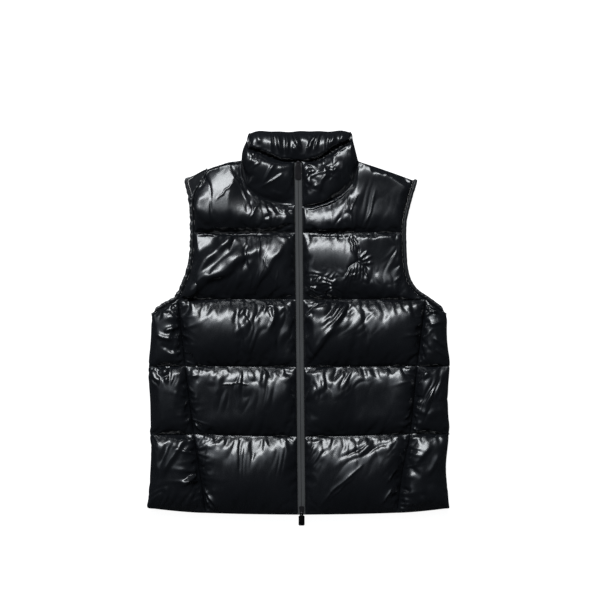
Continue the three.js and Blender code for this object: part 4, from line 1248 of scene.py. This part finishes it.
def backPiece():
    def halfTop(side, edge):
        x = sideSign[side] * body.neckHalf * np.linspace(0, 1, 60)[1:]
        neck = np.stack([x, backNeckY(x)], 1)
        line = np.concatenate([[[0, float(backNeckY(0))]], neck, shoulderLine(side, shoulderTip[edge], 30)])
        return evenly(line, backCut.columns // 2 + 1)
    tops = np.concatenate([halfTop("right", "backRight")[::-1], halfTop("left", "left")[1:]])
    plan = panelPlan(
        lambda y: outerX("backRight", y) + body.gap, lambda y: outerX("left", y) - body.gap,
        tops, backCut.rowCounts,
    )
    edgeAway = np.minimum(np.abs(plan.x - plan.start), np.abs(plan.end - plan.x))
    armholeAway = np.where(plan.y > body.armpitY, edgeAway, sidePuff.liftReach)
    fromLow, toHigh = plan.y - plan.low, plan.high - plan.y
    topAway = np.where(plan.channel == len(quiltSeams) - 1, toHigh, sidePuff.liftReach)
    free = np.minimum(plan.y - seamY(0, plan.x), np.minimum(armholeAway, topAway))
    swell = (1 - np.abs(2 * plan.share - 1) ** 2.2) ** 0.75
    groove = backCut.grooveDepth * (1 - swell * roundUp(edgeAway, 30))
    folds = seamGathers(plan, backCut.gatherSeed, 0.8, 1.0, 0.8, backGathers)
    hollows = np.maximum(foldHeights(plan.x, plan.y, backFolds), 0) + folds * backCut.gathered
    inSeams = smooth(np.minimum(fromLow, toHigh), 0, 9) * smooth(edgeAway, 0, 9)
    under = np.clip(np.maximum(lift(free), groove) + hollows * inSeams, 0, backCut.mostLift)
    top = body.midZ - body.gap + 0 * under
    rows, columns = under.shape
    points = [inFrame(np.stack([plan.x, plan.y, z], 2)).reshape(-1, 3) for z in (under, top)]
    border, shift = gridBorder(rows, columns), rows * columns
    walls = np.stack([border, np.roll(border, -1), np.roll(border, -1) + shift, border + shift], 1)
    faces = [gridFaces(rows, columns), gridFaces(rows, columns, flip=True) + shift, walls]
    piece = meshObject("vestBack", np.concatenate(points), np.concatenate(faces))
    turnedOut(piece.data)
    shadeSmooth(piece)
    quilted(piece, "back")


for side in ("right", "left"):
    frontPiece(side)
    sidePiece(side)
collarPiece()
backPiece()
print("padded pieces closed")

# Zip tapes
tapeCut = Cut(level=23.0, thick=1.2, topY=656, endY=-2, step=3.0, coil=0.7)


def tapeWave(side, y):  # the tape lies a little wavy
    return 0.25 * np.sin(y / 37.0 + sideSign[side]) + 0.15 * np.sin(y / 11.0)


def zipTape(side):
    sign = sideSign[side]
    count = int((tapeCut.topY - tapeCut.endY) / tapeCut.step)
    y = np.linspace(tapeCut.endY, tapeCut.topY, count)
    inner, outer = 0.15, body.zipHalf - body.gap
    low, high = tapeCut.level, tapeCut.level + tapeCut.thick
    section = [  # distance from the centre line, and height
        (inner, low), (inner, high - 0.5), (inner + 0.35, high), (inner + 1.6, high + tapeCut.coil * 0.5),
        (inner + 2.6, high + 0.1), (inner + 3.4, high), (outer - 1.2, high), (outer - 0.4, high - 0.1),
        (outer, high - 0.5), (outer, low),
    ]
    rings = [[(zipX(v) + sign * off, v, up + w) for off, up in section] for v, w in zip(y, tapeWave(side, y))]
    piece = closedRings("zipTape" + side.capitalize(), inFrame(rings), 40)
    finishPiece(piece, "tape", "zip_tape_" + side)


for side in ("right", "left"):
    zipTape(side)

# Bindings round the armholes
bindingCut = Cut(
    gap=0.4, width=7.6, thick=2.8, step=2.6, ruffle=dict(right=1.0, left=0.25),
    pucker=dict(right=0.32, left=0.15), taper=14, blunt=0.2, tip=0.95,
)


def sideTopLine(side):
    s = np.linspace(1, 0, 12)
    y = body.armpitY + (body.armpitFoldY - body.armpitY) * s
    seamX = float(outerX(side, body.armpitY))
    foldX = float(readTable(sideFold, "y", side, body.armpitFoldY))
    foldX -= sideSign[side] * sidePuff.edgeThick
    return np.stack([seamX + (foldX - seamX) * s, y], 1)


def edgeLine(edge, last):
    y = np.linspace(body.armpitY, last[1], 60)
    x = outerX(edge, y)
    x[-1] = last[0]
    return np.stack([x, y], 1)


def bindingPiece(side):
    sign = sideSign[side]
    backEdge = "backRight" if side == "right" else "left"
    upFront = np.concatenate([sideTopLine(side), edgeLine(side, shoulderTip[side])[1:]])
    upBack = np.concatenate([sideTopLine(side), edgeLine(backEdge, shoulderTip[backEdge])[1:]])
    if side == "right":
        run = shoulderLine("right", shoulderTip.backRight, 40)[::-1]
        between = (run[:, 0] < shoulderTip.right[0]) & (run[:, 0] > shoulderTip.backRight[0])
        upBack = np.concatenate([upBack, run[between]])

    def divide(line):
        length = np.linalg.norm(np.diff(line, axis=0), axis=1).sum()
        return evenly(line, int(length / bindingCut.step))
    front, back = divide(upFront), divide(upBack)[::-1]

    def outwards(line, forward):
        along = np.gradient(line, axis=0)
        along /= np.linalg.norm(along, axis=1, keepdims=True)
        up = along if forward else -along
        return np.stack([sign * up[:, 1], -sign * up[:, 0]], 1), up

    def turned(last, first, up, angles):  # the strip turns over from one layer to the other
        for a, angle in zip((0.25, 0.5, 0.75), angles):
            out = last[1] * (1 - a) + first[1] * a
            yield last[0] * (1 - a) + first[0] * a, out / np.linalg.norm(out), up, math.pi * angle
    upper, lower = (
        [(p, o, u, angle) for p, o, u in zip(line, *outwards(line, forward))]
        for line, angle, forward in ((front, 0.0, True), (back, math.pi, False))
    )
    stations = upper + list(turned(upper[-1], lower[0], upper[-1][2], (0.25, 0.5, 0.75))) + lower
    stations += turned(lower[-1], upper[0], -upper[0][2], (0.75, 0.5, 0.25))
    own = np.random.default_rng(501 if side == "right" else 502)
    places = np.array([s[0] for s in stations])
    travelled = np.concatenate([[0], np.cumsum(np.linalg.norm(np.diff(places, axis=0), axis=1))])

    def wavy(least, pitches):
        return sum(
            own.uniform(least, 1) * np.sin(2 * math.pi * travelled / pitch + own.uniform(0, 6.3))
            for pitch in pitches
        )
    waves = wavy(0.5, (17.0, 11.3, 27.0)) * bindingCut.ruffle[side] * 0.5
    puckers = wavy(0.4, (7.3, 9.1, 5.9)) * bindingCut.pucker[side]
    rings = []
    fromFold = smooth(np.minimum(travelled, travelled[-1] - travelled), 0, bindingCut.taper)
    for (p, out, up, angle), wave, pucker, far in zip(stations, waves, puckers, fromFold):
        if side == "right":
            far *= 1 - bindingCut.tip * float(smooth(p[0] + 0.3 * p[1], -29, -8) * smooth(p[1], 590, 624))
        width = (bindingCut.width + wave) * (bindingCut.blunt + (1 - bindingCut.blunt) * far)
        thick = bindingCut.thick + 0.4 * wave
        middle, inset = (bindingCut.gap + width) / 2, bindingCut.gap
        section = [  # distance from the edge, and from the middle height
            (inset, body.gap), (width - 1.2, body.gap), (width, 1.3), (width, thick * 0.6),
            (width - 0.9, thick + pucker), (middle + 1, thick + 0.5 + 1.6 * pucker),
            (middle - 1.2, thick + 0.4 - pucker), (inset + 1.3, thick - 0.2 + pucker), (inset, thick - 1.2),
        ]
        rings.append([
            (*(p + out * w + up * (r * math.sin(angle))), body.midZ + r * math.cos(angle))
            for w, r in section
        ])
    rings = inFrame(rings)
    rings = np.concatenate([rings, rings[:1]])
    rings[:, :, 2] = np.maximum(rings[:, :, 2], 0)
    fine = refined(rings, closed=True)[:-1]
    faces = ringFaces(*fine.shape[:2], closed=True)
    piece = meshObject("armholeBinding" + side.capitalize(), fine.reshape(-1, 3), faces)
    turnedOut(piece.data)
    shadeSmooth(piece)
    finishPiece(piece, "binding", "armhole_binding_" + side)


for side in ("right", "left"):
    bindingPiece(side)
print("tapes and bindings made")

# Sliders and tabs keep their solids, with softened edges
softEdge = Cut(top_slider=0.35, bottom_slider=0.35, top_pull_tab=0.3, bottom_pull_tab=0.3)
for name, width in softEdge.items():
    node = frame["nodes"][name]
    node.data.materials.clear()
    node.data.materials.append(finishes["metal"])
    edge = node.modifiers.new("SoftEdge", "BEVEL")
    edge.width = width * mm
    edge.segments = 2
    edge.limit_method = "ANGLE"
    edge.angle_limit = math.radians(35)
    edge.use_clamp_overlap = True
    for polygon in node.data.polygons:
        polygon.use_smooth = True
    node.data.set_sharp_from_angle(angle=math.radians(40))

# Stitches
stitchCut = Cut(length=2.7, pitch=3.9, radius=0.32, sides=6, raised=0.15)
threadRings = ((0.35, -0.15), (1.0, 0.12), (1.0, 0.12), (0.35, -0.15))  # each ring's size and rise, in mm


def stitchMesh(name, lines):
    # Short raised threads along lines of points, joined in one mesh
    verts, faces = [], []
    own = np.random.default_rng(601)
    n = stitchCut.sides
    wraps = ringFaces(len(threadRings), n)
    for line in lines:
        along = np.concatenate([[0], np.cumsum(np.linalg.norm(np.diff(line, axis=0), axis=1))])
        for i in range(int(along[-1] / (stitchCut.pitch * mm))):
            start = (i + 0.5) * stitchCut.pitch * mm
            length = stitchCut.length * mm * own.uniform(0.92, 1.05)
            ts = start + np.linspace(-0.5, 0.5, 4) * length
            middle = np.stack([np.interp(ts, along, line[:, k]) for k in range(3)], 1)
            direction = middle[-1] - middle[0]
            direction /= max(np.linalg.norm(direction), 1e-9)
            sideways = np.cross(direction, [0, 0, 1.0])
            sideways /= max(np.linalg.norm(sideways), 1e-9)
            up = np.cross(sideways, direction)
            base = len(verts)
            for centre, (scale, rise) in zip(middle, threadRings):
                radius = stitchCut.radius * mm * scale
                for k in range(n):
                    angle = 2 * math.pi * k / n
                    lifted = up * (rise * mm + radius * math.sin(angle))
                    verts.append(centre + lifted + sideways * radius * math.cos(angle))
            faces += list(base + wraps)
            faces.append(tuple(base + k for k in range(n))[::-1])
            faces.append(tuple(base + 3 * n + k for k in range(n)))
    piece = meshObject(name, verts, faces)
    turnedOut(piece.data)
    piece.data.shade_smooth()
    piece.data.materials.append(finishes["thread"])
    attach(piece, "vest")


def quiltLines():
    lines = []
    flankColumns = sidePuff.topColumns + 4
    for side in ("right", "left"):
        for name, cut, columns in (("front_", frontPuff, None), ("side_", sidePuff, flankColumns)):
            grid = sheets[name + side]["grid"]
            lines += [grid[row][:columns].copy() for row in np.cumsum(cut.rowCounts)[:-1]]
    for line in lines:
        line[:, 2] += stitchCut.raised * mm
    return lines


def tapeLines():
    lines = []
    y = np.linspace(4, 650, 220)
    for side in ("right", "left"):
        off = sideSign[side] * (body.zipHalf - 1.4)
        z = tapeCut.level + tapeCut.thick + 0.1 + tapeWave(side, y)
        lines.append(inFrame(np.stack([zipX(y) + off, y, z], 1)))
    return lines


stitchMesh("quiltStitches", quiltLines())
stitchMesh("zipStitches", tapeLines())
print("stitches made")

# Camera, straight down
view = Cut(width=1.122, centre=(0.003055, 0.05263), height=5.0, sensor=36, level=0.02, tall=601 / 600)
camera = added("camera", bpy.data.cameras.new("camera"))
camera.location = (*view.centre, view.height)
camera.data.sensor_width = view.sensor
camera.data.lens = view.sensor * (view.height - view.level) / (view.width * view.tall)
bpy.context.scene.camera = camera

floorCut = Cut(half=4, level=-0.0005)
floorCorners = [
    (x * floorCut.half, y * floorCut.half, floorCut.level)
    for x, y in ((-1, -1), (1, -1), (1, 1), (-1, 1))
]
floorPiece = meshObject("floor", floorCorners, [(0, 1, 2, 3)])
floorFinish = Finish(
    "whitePaper", Base_Color=(0.35, 0.35, 0.35, 1), Roughness=1.0,
    Emission_Color=(1, 1, 1, 1), Emission_Strength=0.96,
)
floorPiece.data.materials.append(floorFinish.material)
floorPiece.visible_glossy = False  # the studio's table is dim around the vest, so its gloss stays black

room = Cut(tint=(0.82, 0.90, 1.0, 1), overhead=0.03, glows=table(  # soft bright places beyond the collar
    "azimuth height widest strength", (-12, 53, 0.86, 1.3), (-52, 50, 0.86, 0.55),
))
world = bpy.data.worlds.new("room")
bpy.context.scene.world = world
world.use_nodes = True


class Sky(Finish):  # the world's nodes, added in the same way
    def __init__(self, world):
        self.material = world
        self.tree = world.node_tree
        self.shader = self.tree.nodes["Background"]


def directionOf(source):  # towards a light that stands at an azimuth and a height, in degrees
    turn, up = math.radians(source.azimuth), math.radians(source.height)
    return math.sin(turn) * math.cos(up), math.cos(turn) * math.cos(up), math.sin(up)


sky = Sky(world)
direction = sky.add("ShaderNodeTexCoord", {}, {}, "Generated")
brightness = room.overhead
for glow in room.glows:
    values = {0: direction, 1: directionOf(glow)}
    towards = sky.add("ShaderNodeVectorMath", dict(operation="DOT_PRODUCT"), values, "Value")
    values = {"Value": towards, "From Min": glow.widest, "From Max": 1.0, "To Max": glow.strength}
    brightness += sky.add("ShaderNodeMapRange", dict(interpolation_type="SMOOTHERSTEP"), values)
sky.wear(Color=room.tint, Strength=brightness)

lamp = Cut(
    name="keyWindow", azimuth=-14, height=50, distance=2.4, wide=1.6, tall=0.6, power=50,
    tint=(0.95, 0.98, 1.0),
)
light = added(lamp.name, bpy.data.lights.new(lamp.name, "AREA"))
light.data.shape = "RECTANGLE"
light.data.size = lamp.wide
light.data.size_y = lamp.tall
light.data.energy = lamp.power
light.data.color = lamp.tint
away = Vector(directionOf(lamp))
light.location = away * lamp.distance
light.rotation_mode = "QUATERNION"
light.rotation_quaternion = away.to_track_quat("Z", "Y")
bpy.context.scene.view_settings.view_transform = "Standard"
print("room set")
